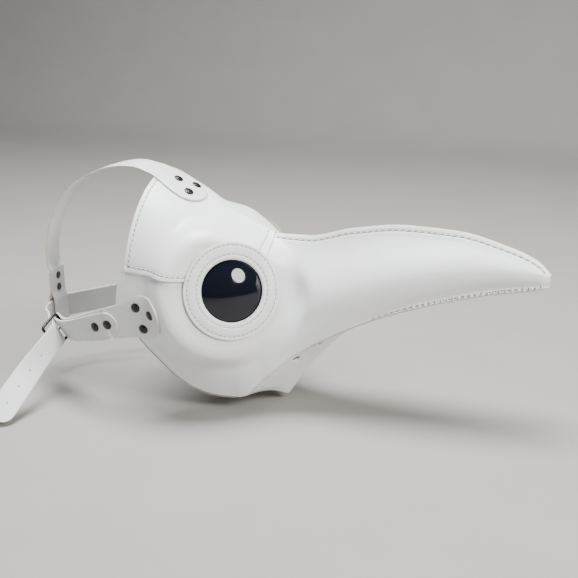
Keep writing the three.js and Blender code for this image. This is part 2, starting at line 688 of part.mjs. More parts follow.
function buckleTab() {
  const curve = tabCurve();
  const strapHalf = STRAP_WIDTH / 2;
  const rows = sidePaddle(RIGHT, SECOND_MIDDLE);
  const count = TAB_STEPS;
  const neck = (share) => sideHalf((SIDE_PADDLE_X - DRAPE_REAR_X) * SIDE_SLOPE + share * curve.getLength());
  for (let i = 1; i <= count; i += 1) rows.push(tabRow(curve, i / count, neck(i / count), false));
  const normal = TAB_IN.clone().cross(HEEL_ACROSS).normalize();
  for (let i = 1; i < 6; i += 1) {
    const angle = (Math.PI * i) / 6;
    const out = normal.clone().multiplyScalar(-Math.cos(angle)).addScaledVector(TAB_IN, Math.sin(angle));
    rows.push(flatRow(step(HEEL, out, LOOP_RADIUS), HEEL_ACROSS, out.clone().negate(), strapHalf));
  }
  for (let i = count; i >= 0; i -= 1) {
    const row = tabRow(curve, i / count, strapHalf, true);
    rows.push({ half: strapHalf, at: (offset, height) => row.at(offset, -height) });
  }
  const flat = FLAP_END_X - strapHalf - DRAPE_REAR_X;
  const middle = SECOND_MIDDLE + 2 * LAYER_HALF;
  const turnedOver = (row) => ({ half: row.half, at: (offset, height) => row.at(offset, -height) });
  roundEnd(strapHalf, 5).reverse().forEach((behind) => {
    const x = DRAPE_REAR_X + Math.max(flat, 0.5) - behind;
    const half = Math.sqrt(strapHalf ** 2 - behind ** 2);
    rows.push(turnedOver(cheekRow(RIGHT, x, half, middle)));
  });
  const tools = [...paddleRivetSpots(RIGHT), ...flapRivetSpots()].flatMap(rivetTools);
  const slot = new THREE.BoxGeometry(PRONG_WIDTH + 4 * GAP, 16, 16);
  slot.applyMatrix4(buckleMatrix());
  return cut(ribbon(rows), [...tools, slot]);
}

// Places a shape drawn with its X along the heel bar, Y along the frame and Z through its face.
function buckleMatrix() {
  const face = BUCKLE_FACE.clone().negate();
  return new THREE.Matrix4().makeBasis(HEEL_ACROSS, BUCKLE_WAY, face).setPosition(HEEL);
}

// ---------------------------------------------------------------- crown strap

const THIRD_MIDDLE = THIRD + LEATHER / 2;
const CROWN_SLOPE = 0.92; // run along X of each millimetre along the forehead
const CROWN_LEAVE_X = FOREHEAD_REAR_X + FOREHEAD_PEAK - 6; // behind this it leaves the forehead

function crownPoint(x, y, height) {
  if (Math.abs(y) < GAP) return middlePoint(x, height);
  return skin(y < 0 ? RIGHT : LEFT, x, stationAtY(x, Math.abs(y)), height);
}

const crownRow = (x, half) => ({
  half,
  at: (offset, height) => crownPoint(x, offset - CROWN_SET_OVER, THIRD_MIDDLE + height),
});

const CROWN_LOOP = LEATHER + GAP + LEATHER / 2 + 0.6; // radius of the loop round the rear strap
const CROWN_LOOP_Z = REAR_Z - STRAP_WIDTH / 2 - GAP; // middle of the loop's bend
const CROWN_SPLIT_Z = CROWN_LOOP_RIVETS[1] + 8; // upper end of the folded part

function crownCurve() {
  const top = sectionHeight('top', 0);
  const back = CROWN_BACK_X + LAYER_HALF;
  return new THREE.CatmullRomCurve3([
    crownPoint(CROWN_LEAVE_X, -CROWN_SET_OVER, THIRD_MIDDLE),
    vec(14, -0.8 * CROWN_SET_OVER, top - 0.6),
    vec(-10, -0.5 * CROWN_SET_OVER, top - 4),
    vec(-36, -0.2 * CROWN_SET_OVER, 0.885 * top),
    vec(-62, 0, 0.74 * top),
    vec(-82, 0, 0.52 * top),
    vec(-95, 0, 0.22 * top),
    vec(back - 3, 0, -6),
    vec(back, 0, CROWN_SPLIT_Z),
  ], false, 'centripetal');
}

// Rows of the crown strap from the tip of its paddle to where it leaves the forehead.
function crownPaddle() {
  const flat = (CROWN_PADDLE_X - CROWN_LEAVE_X) / CROWN_SLOPE;
  const straight = Array.from({ length: 5 }, (_, i) => (flat * i) / 4);
  const places = [...roundEnd(PADDLE_RADIUS, 6), ...straight];
  return places.map((behind) => crownRow(CROWN_PADDLE_X - CROWN_SLOPE * behind, crownHalf(behind)));
}

function crownStrap() {
  const half = STRAP_WIDTH / 2;
  const rows = crownPaddle();
  const flat = (CROWN_PADDLE_X - CROWN_LEAVE_X) / CROWN_SLOPE;
  const curve = crownCurve();
  const count = CROWN_STEPS;
  const across = vec(0, 1, 0);
  for (let i = 1; i <= count; i += 1) {
    const share = i / count;
    const width = crownHalf(flat + share * curve.getLength());
    const free = rowOnCurve(curve, share, across, width);
    rows.push({ half: width, at: (offset, height) => settle(free, share, offset, height) });
  }
  crownLoopRows(half).forEach((row) => rows.push(row));
  const tools = [...crownRivetSpots(), ...crownLoopRivetSpots()].flatMap(rivetTools);
  return cut(ribbon(rows), tools);
}

// Just behind the forehead the strap keeps the arch of the forehead and flattens out gradually.
function settle(free, share, offset, height) {
  const arch = 1 - smoothstep(share, 0, 0.16);
  const point = free.at(offset, height);
  const sag = (offset * offset) / (2 * 75);
  point.z -= arch * sag;
  return point;
}

// The strap's end: down inside the rear strap, round under it and back up outside.
function crownLoopRows(half) {
  const across = vec(0, 1, 0);
  const inward = vec(1, 0, 0);
  const leg = (z, sign) => {
    const closed = smoothstep(z, REAR_Z + STRAP_WIDTH / 2, CROWN_LOOP_RIVETS[0] - 2);
    const open = lerp(CROWN_LOOP, LAYER_HALF, closed);
    const place = vec(CROWN_BACK_X + sign * open, 0, z);
    return flatRow(place, across, inward.clone().multiplyScalar(-sign), half);
  };
  const heights = Array.from({ length: 9 }, (_, i) => lerp(CROWN_SPLIT_Z - 5, CROWN_LOOP_Z, i / 8));
  const rows = heights.map((z) => leg(z, 1));
  for (let i = 1; i < 5; i += 1) {
    const angle = (Math.PI * i) / 5;
    const out = vec(Math.cos(angle), 0, -Math.sin(angle));
    const centre = step(vec(CROWN_BACK_X, 0, CROWN_LOOP_Z), out, CROWN_LOOP);
    rows.push(flatRow(centre, across, out.clone().negate(), half));
  }
  heights.slice().reverse().forEach((z) => rows.push(leg(z, -1)));
  return rows;
}

// ---------------------------------------------------------------- rear strap and its free end

const TAIL_START = buckleSpot(BUCKLE_REACH, TAIL_RIDE);

function rearCurve() {
  const wide = MASK_WIDTH;
  const start = cheekPoint(LEFT, DRAPE_REAR_X, SECOND_MIDDLE);
  return new THREE.CatmullRomCurve3([
    start,
    vec(-16, 0.45 * wide, sideLineZ(-16)),
    vec(-42, 0.385 * wide, sideLineZ(-42)),
    vec(-66, 0.29 * wide, REAR_Z + 1.5),
    vec(-85, 0.18 * wide, REAR_Z),
    vec(CROWN_BACK_X, 15, REAR_Z),
    vec(CROWN_BACK_X, 0, REAR_Z),
    vec(CROWN_BACK_X, -15, REAR_Z),
    vec(-86, -0.185 * wide, REAR_Z),
    buckleSpot(-3, -15),
    buckleSpot(5, -6.5),
    buckleSpot(8, -1),
    buckleSpot(11, 3.6),
    buckleSpot(16, TAIL_RIDE - 0.2),
    TAIL_START,
  ], false, 'centripetal');
}

function rearStrap() {
  const half = STRAP_WIDTH / 2;
  const rows = sidePaddle(LEFT, SECOND_MIDDLE);
  const curve = rearCurve();
  const count = REAR_STEPS;
  const length = curve.getLength();
  const last = 1 - (LEATHER / 2 + GAP) / length;
  for (let i = 1; i <= count; i += 1) {
    const share = (last * i) / count;
    const turn = smoothstep(share, 0.62, 0.9);
    const early = smoothstep(share, 0, 0.3);
    const wanted = vec(SIDE_FALL, 0, -1).lerp(vec(0, 0, -1), early).lerp(HEEL_ACROSS, turn).normalize();
    const width = sideHalf((SIDE_PADDLE_X - DRAPE_REAR_X) * SIDE_SLOPE + share * length);
    rows.push(rowOnCurve(curve, share, wanted, width));
  }
  const slot = new THREE.BoxGeometry(2 * PRONG_RADIUS + 4 * GAP, 13, 9);
  slot.translate(0, 10, 0);
  slot.applyMatrix4(buckleMatrix());
  const tools = paddleRivetSpots(LEFT).flatMap(rivetTools);
  return cut(ribbon(rows), [...tools, slot]);
}

// The free end turns its face outwards as it goes.
const TAIL_ACROSS = vec(0.836, 0.099, -0.538).normalize();
const tailAcross = (length) => {
  const share = clamp(length / TAIL_LENGTH, 0, 1);
  return HEEL_ACROSS.clone().lerp(TAIL_ACROSS, share * share * (3 - 2 * share)).normalize();
};

function tailSpot(length) {
  const point = step(TAIL_START, BUCKLE_WAY, length);
  point.z -= TAIL_SAG * (length / TAIL_LENGTH) ** 2;
  return point;
}

function strapTail() {
  const half = STRAP_WIDTH / 2;
  const lengths = [0, 6, 14, 26, 38, 50, 62, 74, 84, TAIL_LENGTH - half];
  const row = (length, width) => ({
    half: width,
    at: (offset, height) => {
      const across = tailAcross(length);
      const face = BUCKLE_WAY.clone().cross(across).normalize();
      return step(step(tailSpot(length), across, offset), face, height);
    },
  });
  const rows = lengths.map((length) => row(length, half));
  roundEnd(half, 6).reverse().forEach((behind) => {
    rows.push(row(TAIL_LENGTH - half - behind, Math.sqrt(half ** 2 - behind ** 2)));
  });
  const tools = Array.from({ length: HOLE_COUNT }, (_, i) => {
    const length = HOLE_FIRST + i * HOLE_PITCH;
    const face = BUCKLE_WAY.clone().cross(tailAcross(length)).normalize();
    return drill(HOLE_RADIUS, tailSpot(length), face, -4, 4, SMALL_ROUND);
  });
  return cut(ribbon(rows), tools);
}

// ---------------------------------------------------------------- buckle

const FRAME_HALF = STRAP_WIDTH / 2 + BUCKLE_SIDE_GAP + WIRE_RADIUS;

function wire(from, to, radius) {
  const way = to.clone().sub(from);
  const geometry = new THREE.CapsuleGeometry(radius, way.length(), 2, SMALL_ROUND);
  geometry.applyQuaternion(new THREE.Quaternion().setFromUnitVectors(vec(0, 1, 0), way.normalize()));
  const middle = from.clone().add(to).multiplyScalar(0.5);
  return geometry.translate(middle.x, middle.y, middle.z);
}

function buckleFrame() {
  const corner = (side, reach) => step(buckleSpot(reach, 0), HEEL_ACROSS, side * FRAME_HALF);
  const corners = [corner(-1, 0), corner(1, 0), corner(1, BUCKLE_REACH), corner(-1, BUCKLE_REACH)];
  return join(corners.map((point, i) => wire(point, corners[(i + 1) % corners.length], WIRE_RADIUS)));
}

function buckleProng() {
  const inner = WIRE_RADIUS + GAP;
  const outer = inner + 1.3;
  const eye = turned([
    [inner, -PRONG_WIDTH / 2],
    [outer, -PRONG_WIDTH / 2],
    [outer, PRONG_WIDTH / 2],
    [inner, PRONG_WIDTH / 2],
  ], HEEL, HEEL_ACROSS, SMALL_ROUND);
  const rest = WIRE_RADIUS + GAP + PRONG_RADIUS;
  const shaft = wire(buckleSpot(2, rest - 0.4), buckleSpot(BUCKLE_REACH + 1, rest), PRONG_RADIUS);
  return join([eye, shaft]);
}

// ---------------------------------------------------------------- rivets

// A rivet's place: a point in the lowest layer's underside, its axis, and the stack it closes.
const paddleRivetSpots = (side) => SIDE_RIVETS.map(({ along, across }) => {
  const forward = vec(1, 0, SIDE_FALL).divideScalar(SIDE_SLOPE);
  const x = SIDE_PADDLE_X + along * forward.x - across * forward.z;
  const z = SIDE_PADDLE_Z + along * forward.z + across * forward.x;
  const station = stationAtZ(x, z);
  return { origin: skin(side, x, station, 0), axis: skinNormal(side, x, station), stack: OVER };
});

const crownRivetSpots = () => CROWN_RIVETS.map(({ along, across }) => {
  const x = CROWN_PADDLE_X + along;
  const y = across - CROWN_SET_OVER;
  const origin = crownPoint(x, y, UNDER);
  return { origin, axis: crownPoint(x, y, UNDER + 1).sub(origin).normalize(), stack: 2 * LEATHER + GAP };
});

// The share of the tab's free curve at which it passes an X.
const tabShareAtX = (curve, x) => solve((share) => -curve.getPointAt(share).x, -x);

const flapRivetSpots = () => {
  const curve = tabCurve();
  return FLAP_RIVETS.map((x) => {
    if (x > DRAPE_REAR_X) {
      const station = stationAtZ(x, sideLineZ(x));
      return {
        origin: skin(RIGHT, x, station, UNDER),
        axis: rightNormal(x, station),
        stack: 2 * LEATHER + GAP,
      };
    }
    const row = tabRow(curve, tabShareAtX(curve, x), 1, false);
    const origin = row.at(0, -LEATHER / 2);
    const axis = row.at(0, 1).sub(row.at(0, 0)).normalize();
    return { origin, axis, stack: 2 * LEATHER + GAP };
  });
};

const crownLoopRivetSpots = () => CROWN_LOOP_RIVETS.map((z) => ({
  origin: vec(CROWN_BACK_X + LAYER_HALF + LEATHER / 2, 0, z),
  axis: vec(-1, 0, 0),
  stack: 2 * LEATHER + GAP,
}));

// The tools that make room for a rivet: its shank, its back and its head.
const rivetTools = ({ origin, axis, stack }) => [
  drill(RIVET_SHANK + GAP, origin, axis, -1, stack + 1, SMALL_ROUND),
  drill(RIVET_BACK + GAP, origin, axis, -4, 0, SMALL_ROUND),
  drill(RIVET_RADIUS + GAP, origin, axis, stack, stack + 4, SMALL_ROUND),
];

function rivet({ origin, axis, stack }) {
  const seat = stack + GAP;
  const under = -GAP;
  return turned([
    [0, under - RIVET_BACK_HEIGHT],
    [RIVET_BACK - 0.4, under - RIVET_BACK_HEIGHT],
    [RIVET_BACK, under],
    [RIVET_SHANK, under],
    [RIVET_SHANK, seat],
    [RIVET_RADIUS, seat],
    [0.86 * RIVET_RADIUS, seat + 0.55 * RIVET_HEIGHT],
    [0.5 * RIVET_RADIUS, seat + 0.9 * RIVET_HEIGHT],
    [0, seat + RIVET_HEIGHT],
  ], origin, axis, SMALL_ROUND);
}

// ---------------------------------------------------------------- assembly

const whiteLeather = new THREE.MeshStandardMaterial({ color: '#e9e9e6', roughness: 0.42, metalness: 0 });
const innerLeather = new THREE.MeshStandardMaterial({ color: '#d8cfb8', roughness: 0.8, metalness: 0 });
const smokedLens = new THREE.MeshStandardMaterial({ color: '#0c0e14', roughness: 0.08, metalness: 0 });
const blackenedMetal = new THREE.MeshStandardMaterial({ color: '#1a1816', roughness: 0.35, metalness: 0.85 });

const mask = new THREE.Group();
mask.name = 'plague_doctor_mask';

function add(name, geometry, material) {
  const mesh = new THREE.Mesh(geometry, material);
  mesh.name = name;
  mask.add(mesh);
}

const sideName = (side) => (side === RIGHT ? 'right' : 'left');

[RIGHT, LEFT].forEach((side) => {
  const name = sideName(side);
  const holes = [
    eyeDrill(side, LENS_SEAT),
    drill(BACKING_OUTER + GAP, eyeOf(side), eyeAxisOf(side), -6, 0),
    drill(LENS_RADIUS + RING_WIDTH + 2 * GAP, eyeOf(side), eyeAxisOf(side), LEATHER, 8),
    ribbon(sidePaddle(side, SECOND_MIDDLE), LEATHER + 2 * GAP),
    ...paddleRivetSpots(side).flatMap(rivetTools),
  ];
  add(`side_panel_${name}`, cut(sidePanel(side), holes), whiteLeather);
  add(`eye_ring_${name}`, eyeRing(side), whiteLeather);
  add(`lens_${name}`, lens(side), smokedLens);
  add(`eye_backing_${name}`, eyeBacking(side), innerLeather);
  paddleRivetSpots(side).forEach((spot, i) => {
    add(`cheek_rivet_${name}_${i + 1}`, rivet(spot), blackenedMetal);
  });
});

const foreheadHoles = [
  eyeDrill(RIGHT, FOREHEAD_SCOOP),
  eyeDrill(LEFT, FOREHEAD_SCOOP),
  ribbon(crownPaddle(), LEATHER + 2 * GAP),
  ...crownRivetSpots().flatMap(rivetTools),
];
add('forehead_panel', cut(foreheadSheet(UNDER, OVER, 0), foreheadHoles), whiteLeather);
add('beak_gusset', beakGusset(), whiteLeather);
add('buckle_tab', buckleTab(), whiteLeather);
add('crown_strap', crownStrap(), whiteLeather);
add('rear_strap', rearStrap(), whiteLeather);
add('strap_tail', strapTail(), whiteLeather);
add('buckle_frame', buckleFrame(), blackenedMetal);
add('buckle_prong', buckleProng(), blackenedMetal);
crownRivetSpots().forEach((spot, i) => add(`crown_rivet_${i + 1}`, rivet(spot), blackenedMetal));
flapRivetSpots().forEach((spot, i) => add(`flap_rivet_${i + 1}`, rivet(spot), blackenedMetal));
crownLoopRivetSpots().forEach((spot, i) => add(`crown_loop_rivet_${i + 1}`, rivet(spot), blackenedMetal));

export default mask;
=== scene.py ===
import math

import bpy
import numpy as np
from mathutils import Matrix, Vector


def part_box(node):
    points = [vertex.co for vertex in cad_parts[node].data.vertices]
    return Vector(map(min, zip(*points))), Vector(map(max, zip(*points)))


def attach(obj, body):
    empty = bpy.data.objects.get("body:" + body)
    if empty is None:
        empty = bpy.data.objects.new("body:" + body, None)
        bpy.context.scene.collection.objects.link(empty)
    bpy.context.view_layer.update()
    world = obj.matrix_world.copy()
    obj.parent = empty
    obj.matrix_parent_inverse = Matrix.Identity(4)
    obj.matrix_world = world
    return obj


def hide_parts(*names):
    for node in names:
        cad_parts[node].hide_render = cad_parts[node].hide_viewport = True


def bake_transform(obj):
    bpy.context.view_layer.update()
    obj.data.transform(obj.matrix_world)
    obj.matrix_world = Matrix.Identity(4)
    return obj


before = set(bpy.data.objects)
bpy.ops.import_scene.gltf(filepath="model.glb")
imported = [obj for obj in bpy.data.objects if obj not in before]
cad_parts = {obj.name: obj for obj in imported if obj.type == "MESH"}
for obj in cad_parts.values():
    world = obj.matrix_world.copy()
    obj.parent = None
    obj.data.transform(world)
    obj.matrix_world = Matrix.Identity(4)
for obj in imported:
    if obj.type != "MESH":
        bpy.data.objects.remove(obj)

bl_info = {
    "name": "Plague Doctor Mask",
    "version": (1, 0, 0),
    "blender": (4, 5, 0),
    "location": "View3D > Sidebar > Mask",
    "description": "Builds a stitched white leather plague doctor mask with its riveted harness",
    "category": "Add Mesh",
}

# ---------------------------------------------------------------- sizes, in millimetres

MM = 0.001
MASK_WIDTH = 168.0      # across the temples, inside the leather
MASK_HEIGHT = 230.0
FACE_DEPTH = 190.0      # from the middle of the head to the root of the beak
BEAK_LENGTH = 231.0
LEATHER = 1.8
GAP = 0.3
BEAK_TIP_X = FACE_DEPTH + BEAK_LENGTH
CHIN_AT = 0.695
CHIN_X = CHIN_AT * FACE_DEPTH

SEAM_HEIGHT = 19.0      # lower edge of the forehead panel at the temple
SEAM_FALL = 0.08
SEAM_LAP = 11.0
FRONT_SEAM_X = 156.0
FOREHEAD_REAR_X = 31.0
FOREHEAD_PEAK = 7.0
CHEEK_LEAN = 12.0

LENS_RADIUS = 30.0
LENS_DOME = 8.0
LENS_COLLAR = 1.9
LENS_FLANGE = 3.9
LENS_WALL = 1.5
RING_WIDTH = 17.0
RING_TOP = 5.8
BACKING_INNER = 28.5
BACKING_OUTER = 40.0
BACKING_THICK = 1.4
EYE_X = 130.0
EYE_DROP = 0.368
EYE_YAW = math.radians(36)
EYE_PITCH = math.radians(12)
EYE_FLAT = 50.0
EYE_BLEND = 26.0
EYE_CREST = 0.12

CREASE_LEAD = 36.0
CREASE_DROP = 43.0
CREASE_REACH = 44.0
CREASE_LEAST = 2.4
GUSSET_END = 9.0
GUSSET_SWEEP = 6.0
VENT_RADIUS = 4.4
VENT_FIRST = 0.175
VENT_STEP = 0.086
VENT_COUNT = 3
VENT_ACROSS = 0.8

STRAP_WIDTH = 25.0
PADDLE_RADIUS = 21.5
NECK_WIDTH = 34.0
NECK_LENGTH = 26.0
TAPER_LENGTH = 112.0
SIDE_PADDLE_X = 51.5
SIDE_PADDLE_Z = -24.0
SIDE_FALL = 0.296
CROWN_PADDLE_X = 64.0
CROWN_SET_OVER = 9.0
CROWN_TAPER = 52.0
FLAP_END_X = 21.0
HOLE_RADIUS = 1.1
HOLE_PITCH = 19.5
HOLE_FIRST = 23.0
HOLE_COUNT = 4
TAIL_LENGTH = 100.0
TAIL_SAG = 9.0
CROWN_BACK_X = -94.0
REAR_Z = -57.0

WIRE_RADIUS = 1.5
BUCKLE_REACH = 23.0
BUCKLE_SIDE_GAP = 1.0
PRONG_RADIUS = 0.8
PRONG_WIDTH = 3.0
TAIL_RIDE = 6.2

RIVET_RADIUS = 4.8
RIVET_HEIGHT = 1.9
RIVET_SHANK = 1.5
RIVET_BACK = 4.0
RIVET_BACK_HEIGHT = 0.9
SIDE_RIVETS = [(9.5, 1.0), (-5.0, 11.0), (-5.0, -11.0)]
CROWN_RIVETS = [(-9.0, 0.0), (6.0, -9.5), (6.0, 9.5)]
FLAP_RIVETS = [10.0, -6.0]
CROWN_LOOP_RIVETS = [-31.0, -18.0]

FIN_STITCH = 4.6        # from the ridge's edge down to its row of stitches
FLANGE_BEND = 2.6       # radius of the seam allowance where it turns outwards
FLANGE_WIDTH = 3.4
FLANGE_TURN = math.radians(72)
ROPE_START_X = 292.0    # in front of this the seam under the beak is bound with thread
RIDGE_BOUND_X = 344.0   # and in front of this the ridge
GROOVE_DEPTH = 0.55
GROOVE_HALF = 0.9
SEAM_SLACK = 0.08       # between the seam allowance and the gusset sewn to it
RING_STITCHES = (35.2, 43.9)    # radii of the two rows round the lens
RING_GROOVE_HALF = 0.8
STITCH_LEAN = 0.16      # how far each stitch turns from its row
WHIP_SLANT = 1.5
RIVET_EDGE = 0.45       # upright edge below the rivet's dome

# Half sections from the middle of the head (0) over the root of the beak (1) to its tip (2):
# top, widest, waist, foot, half width at the foot, angle at the top, angle at the foot, fullness.
# Heights are shares of MASK_HEIGHT, widths are shares of half of MASK_WIDTH.
SECTIONS = [
    (0.0, 0.486, 0.93, -0.013, -0.513, 0.66, 0, 12, 0.62),
    (0.195, 0.442, 0.98, -0.03, -0.513, 0.64, 0, 12, 0.6),
    (0.316, 0.392, 1.0, -0.043, -0.513, 0.62, 0, 12, 0.58),
    (0.526, 0.3, 0.95, -0.087, -0.504, 0.56, 8, 12, 0.52),
    (0.695, 0.24, 0.74, -0.122, -0.489, 0.5, 30, 14, 0.48),
    (0.832, 0.2, 0.51, -0.165, -0.38, 0.476, 46, 20, 0.45),
    (1.0, 0.202, 0.41, -0.122, -0.258, 0.39, 66, 26, 0.46),
    (1.195, 0.249, 0.387, -0.052, -0.142, 0.33, 74, 32, 0.47),
    (1.411, 0.277, 0.35, 0.03, -0.041, 0.265, 72, 36, 0.5),
    (1.628, 0.268, 0.272, 0.093, 0.024, 0.18, 68, 36, 0.5),
    (1.823, 0.221, 0.172, 0.117, 0.066, 0.098, 64, 34, 0.5),
    (1.952, 0.167, 0.083, 0.111, 0.08, 0.038, 60, 30, 0.48),
    (2.0, 0.12, 0.014, 0.1, 0.086, 0.01, 60, 30, 0.45),
]
WAIST = 0.5
# Lower edge of the cheek: places as shares of FACE_DEPTH, heights as shares of MASK_HEIGHT.
JAW = [(0.105, -0.07), (0.237, -0.222), (0.311, -0.307), (0.387, -0.396), (0.474, -0.452),
       (0.568, -0.48), (CHIN_AT, -0.489)]

CAMERA_TURN = math.radians(18)  # forward of the right side
CAMERA_RISE = math.radians(17)
CAMERA_LENS = 62.28
CAMERA_DISTANCE = 1.0           # this, the target and the floor's drop are in metres
CAMERA_TARGET = (0.170, 0, -0.0093)
FLOOR_DROP = 0.004

RIGHT, LEFT = -1, 1
SIDE_NAMES = {RIGHT: "right", LEFT: "left"}

# ---------------------------------------------------------------- small helpers


def unit(v):
    """Vectors scaled to a length of 1."""
    v = np.asarray(v, float)
    return v / np.linalg.norm(v, axis=-1, keepdims=True)


def ramp(x, low, high):
    """0 below low, 1 above high and smooth in between."""
    t = np.clip((x - low) / (high - low), 0, 1)
    return t * t * (3 - 2 * t)


def lerp(a, b, t):
    """The place a share t of the way from a to b."""
    return a + (b - a) * t


def mound(x, width):
    """A smooth rise: 1 where x is 0, and fading away over a width on both sides."""
    return np.exp(-((x / width) ** 2))


def smooth_through(xs, ys):
    """A smooth curve through values that never overshoots them."""
    xs, ys = np.array(xs, float), np.array(ys, float)
    gaps = np.diff(xs)
    slopes = np.diff(ys) / gaps
    tangents = np.concatenate([slopes[:1], np.zeros(len(xs) - 2), slopes[-1:]])
    for i in range(1, len(xs) - 1):
        if slopes[i - 1] * slopes[i] > 0:
            before = 2 * gaps[i] + gaps[i - 1]
            after = gaps[i] + 2 * gaps[i - 1]
            tangents[i] = (before + after) / (before / slopes[i - 1] + after / slopes[i])

    def value(x):
        x = np.clip(x, xs[0], xs[-1])
        i = np.clip(np.searchsorted(xs, x, side="right") - 1, 0, len(xs) - 2)
        t = (x - xs[i]) / gaps[i]
        rest = 1 - t
        return (ys[i] * (1 + 2 * t) * rest ** 2 + ys[i + 1] * (3 - 2 * t) * t ** 2
                + gaps[i] * t * rest * (tangents[i] * rest - tangents[i + 1] * t))

    return value


def bezier(a, b, c, d, t):
    """The point a share t of the way along a curve with four control points."""
    r = 1 - t
    return r ** 3 * a + 3 * r * r * t * b + 3 * r * t * t * c + t ** 3 * d


def solve(rising, value):
    """The share between 0 and 1 at which a rising function reaches each value."""
    low = np.zeros_like(value)
    high = np.ones_like(value)
    for _ in range(34):
        middle = (low + high) / 2
        below = rising(middle) < value
        low = np.where(below, middle, low)
        high = np.where(below, high, middle)
    return (low + high) / 2


def lengths_along(points):
    """The distance along a path to each of its points."""
    steps = np.linalg.norm(np.diff(points, axis=0), axis=1)
    return np.concatenate([[0], np.cumsum(steps)])


def resample(points, distances):
    """Points of a path at given distances along it."""
    along = lengths_along(points)
    return np.stack([np.interp(distances, along, points[:, k]) for k in range(3)], axis=1)


def at_distance(along, values, distance):
    """One of a path's values at a distance along it."""
    return np.array([np.interp(distance, along, values[:, k]) for k in range(3)])


def even_pitch(path, pitch):
    """Distances along a path, and the count and pitch of the stitches that fill it evenly."""
    along = lengths_along(path)
    count = max(int(along[-1] / pitch), 1)
    return along, count, along[-1] / count


def spline(points, samples=24):
    """A centripetal curve through points, as a dense polyline."""
    p = [np.array(q, float) for q in points]
    p = [2 * p[0] - p[1], *p, 2 * p[-1] - p[-2]]
    out = []
    for a, b, c, d in zip(p, p[1:], p[2:], p[3:]):
        da, db, dc = (max(np.linalg.norm(v) ** 0.5, 1e-4) for v in (b - a, c - b, d - c))
        start = ((b - a) / da - (c - a) / (da + db) + (c - b) / db) * db
        end = ((c - b) / db - (d - b) / (db + dc) + (d - c) / dc) * db
        t = np.linspace(0, 1, samples, endpoint=False)[:, None]
        out.append((2 * b - 2 * c + start + end) * t ** 3
                   + (3 * c - 3 * b - 2 * start - end) * t ** 2 + start * t + b)
    out.append(p[-2][None])
    return np.concatenate(out)


# ---------------------------------------------------------------- the skin

_at = [row[0] for row in SECTIONS]
_xs = [a * FACE_DEPTH if a < 1 else FACE_DEPTH + (a - 1) * BEAK_LENGTH for a in _at]
_section = [smooth_through(_xs, [row[k] for row in SECTIONS]) for k in range(1, 9)]


def plain_skin(x, station):
    """The right half's inner face before the eye's flat is pressed in: station 0 is the top."""
    top, wide, waist, foot, foot_wide, rise, tuck, full = (f(x) for f in _section)
    top, waist, foot = top * MASK_HEIGHT, waist * MASK_HEIGHT, foot * MASK_HEIGHT
    wide = wide * MASK_WIDTH / 2 + GAP / 2
    foot_wide = foot_wide * MASK_WIDTH / 2 + GAP / 2
    rise, tuck = np.radians(rise), np.radians(tuck)
    t = np.clip(station / WAIST, 0, 1)
    reach = full * np.hypot(wide * np.cos(rise), (top - waist) * np.sin(rise))
    upper_y = bezier(GAP / 2, GAP / 2 + reach * np.cos(rise), wide, wide, t)
    upper_z = bezier(top, top - reach * np.sin(rise), waist + full * (top - waist), waist, t)
    t = np.clip((station - WAIST) / (1 - WAIST), 0, 1)
    fall = waist - foot
    lower_y = bezier(wide, wide, foot_wide + 0.38 * fall * np.sin(tuck), foot_wide, t)
    lower_z = bezier(waist, waist - 0.42 * fall, foot + 0.38 * fall * np.cos(tuck), foot, t)
    above = station < WAIST
    return np.stack([x + 0 * station, -np.where(above, upper_y, lower_y),
                     np.where(above, upper_z, lower_z)], axis=-1)


EYE = plain_skin(np.array(EYE_X), np.array(EYE_DROP))
EYE_AXIS = np.array([math.sin(EYE_YAW) * math.cos(EYE_PITCH),
                     -math.cos(EYE_YAW) * math.cos(EYE_PITCH), math.sin(EYE_PITCH)])


def right_skin(x, station):
    """The right half of the inner face, with the flat for the eye pressed in."""
    point = plain_skin(x, station)
    offset = point - EYE
    height = offset @ EYE_AXIS
    away = np.linalg.norm(offset - height[..., None] * EYE_AXIS, axis=-1)
    run = np.clip((away - EYE_FLAT) / (EYE_BLEND + 4), 0, 1)
    press = (1 - run ** 3 * (6 * run * run - 15 * run + 10)) * ramp(station, 0, EYE_CREST)
    point[..., 1] -= press * height / EYE_AXIS[1]
    return point


def skin_frame(x, station):
    """The outward normal of the right half and the direction down its section."""
    step = 0.004
    along = right_skin(x + step, station) - right_skin(x - step, station)
    down = right_skin(x, np.minimum(station + step, 1)) - right_skin(x, np.maximum(station - step, 0))
    return unit(np.cross(down, along)), unit(down)


def to_side(points, side):
    """Points of the right half, mirrored where the left half is wanted."""
    return points if side == RIGHT else points * np.array([1, -1, 1])


def skin(side, x, station, height):
    """Points of either half at a height above the inner face."""
    x, station = np.broadcast_arrays(np.asarray(x, float), np.asarray(station, float))
    normal = skin_frame(x, station)[0]
    height = np.broadcast_to(height, x.shape)
    return to_side(right_skin(x, station) + normal * height[..., None], side)


def skin_normal(side, x, station):
    """The outward direction of either half."""
    x, station = np.broadcast_arrays(np.asarray(x, float), np.asarray(station, float))
    return to_side(skin_frame(x, station)[0], side)


def station_at_z(x, z):
    """The station at which the skin reaches a height."""
    x, z = np.broadcast_arrays(np.asarray(x, float), np.asarray(z, float))
    return solve(lambda s: -right_skin(x, s)[..., 2], -z)


def station_at_y(x, y):
    """The station above the waist at which the skin reaches a distance from the middle."""
    x, y = np.broadcast_arrays(np.asarray(x, float), np.asarray(y, float))
    return WAIST * solve(lambda s: -plain_skin(x, s * WAIST)[..., 1], y)


UNDER = LEATHER + GAP
OVER = UNDER + LEATHER
THIRD = OVER + GAP
SECOND_MIDDLE = (UNDER + OVER) / 2
THIRD_MIDDLE = THIRD + LEATHER / 2
TWO_LAYERS = 2 * LEATHER + GAP


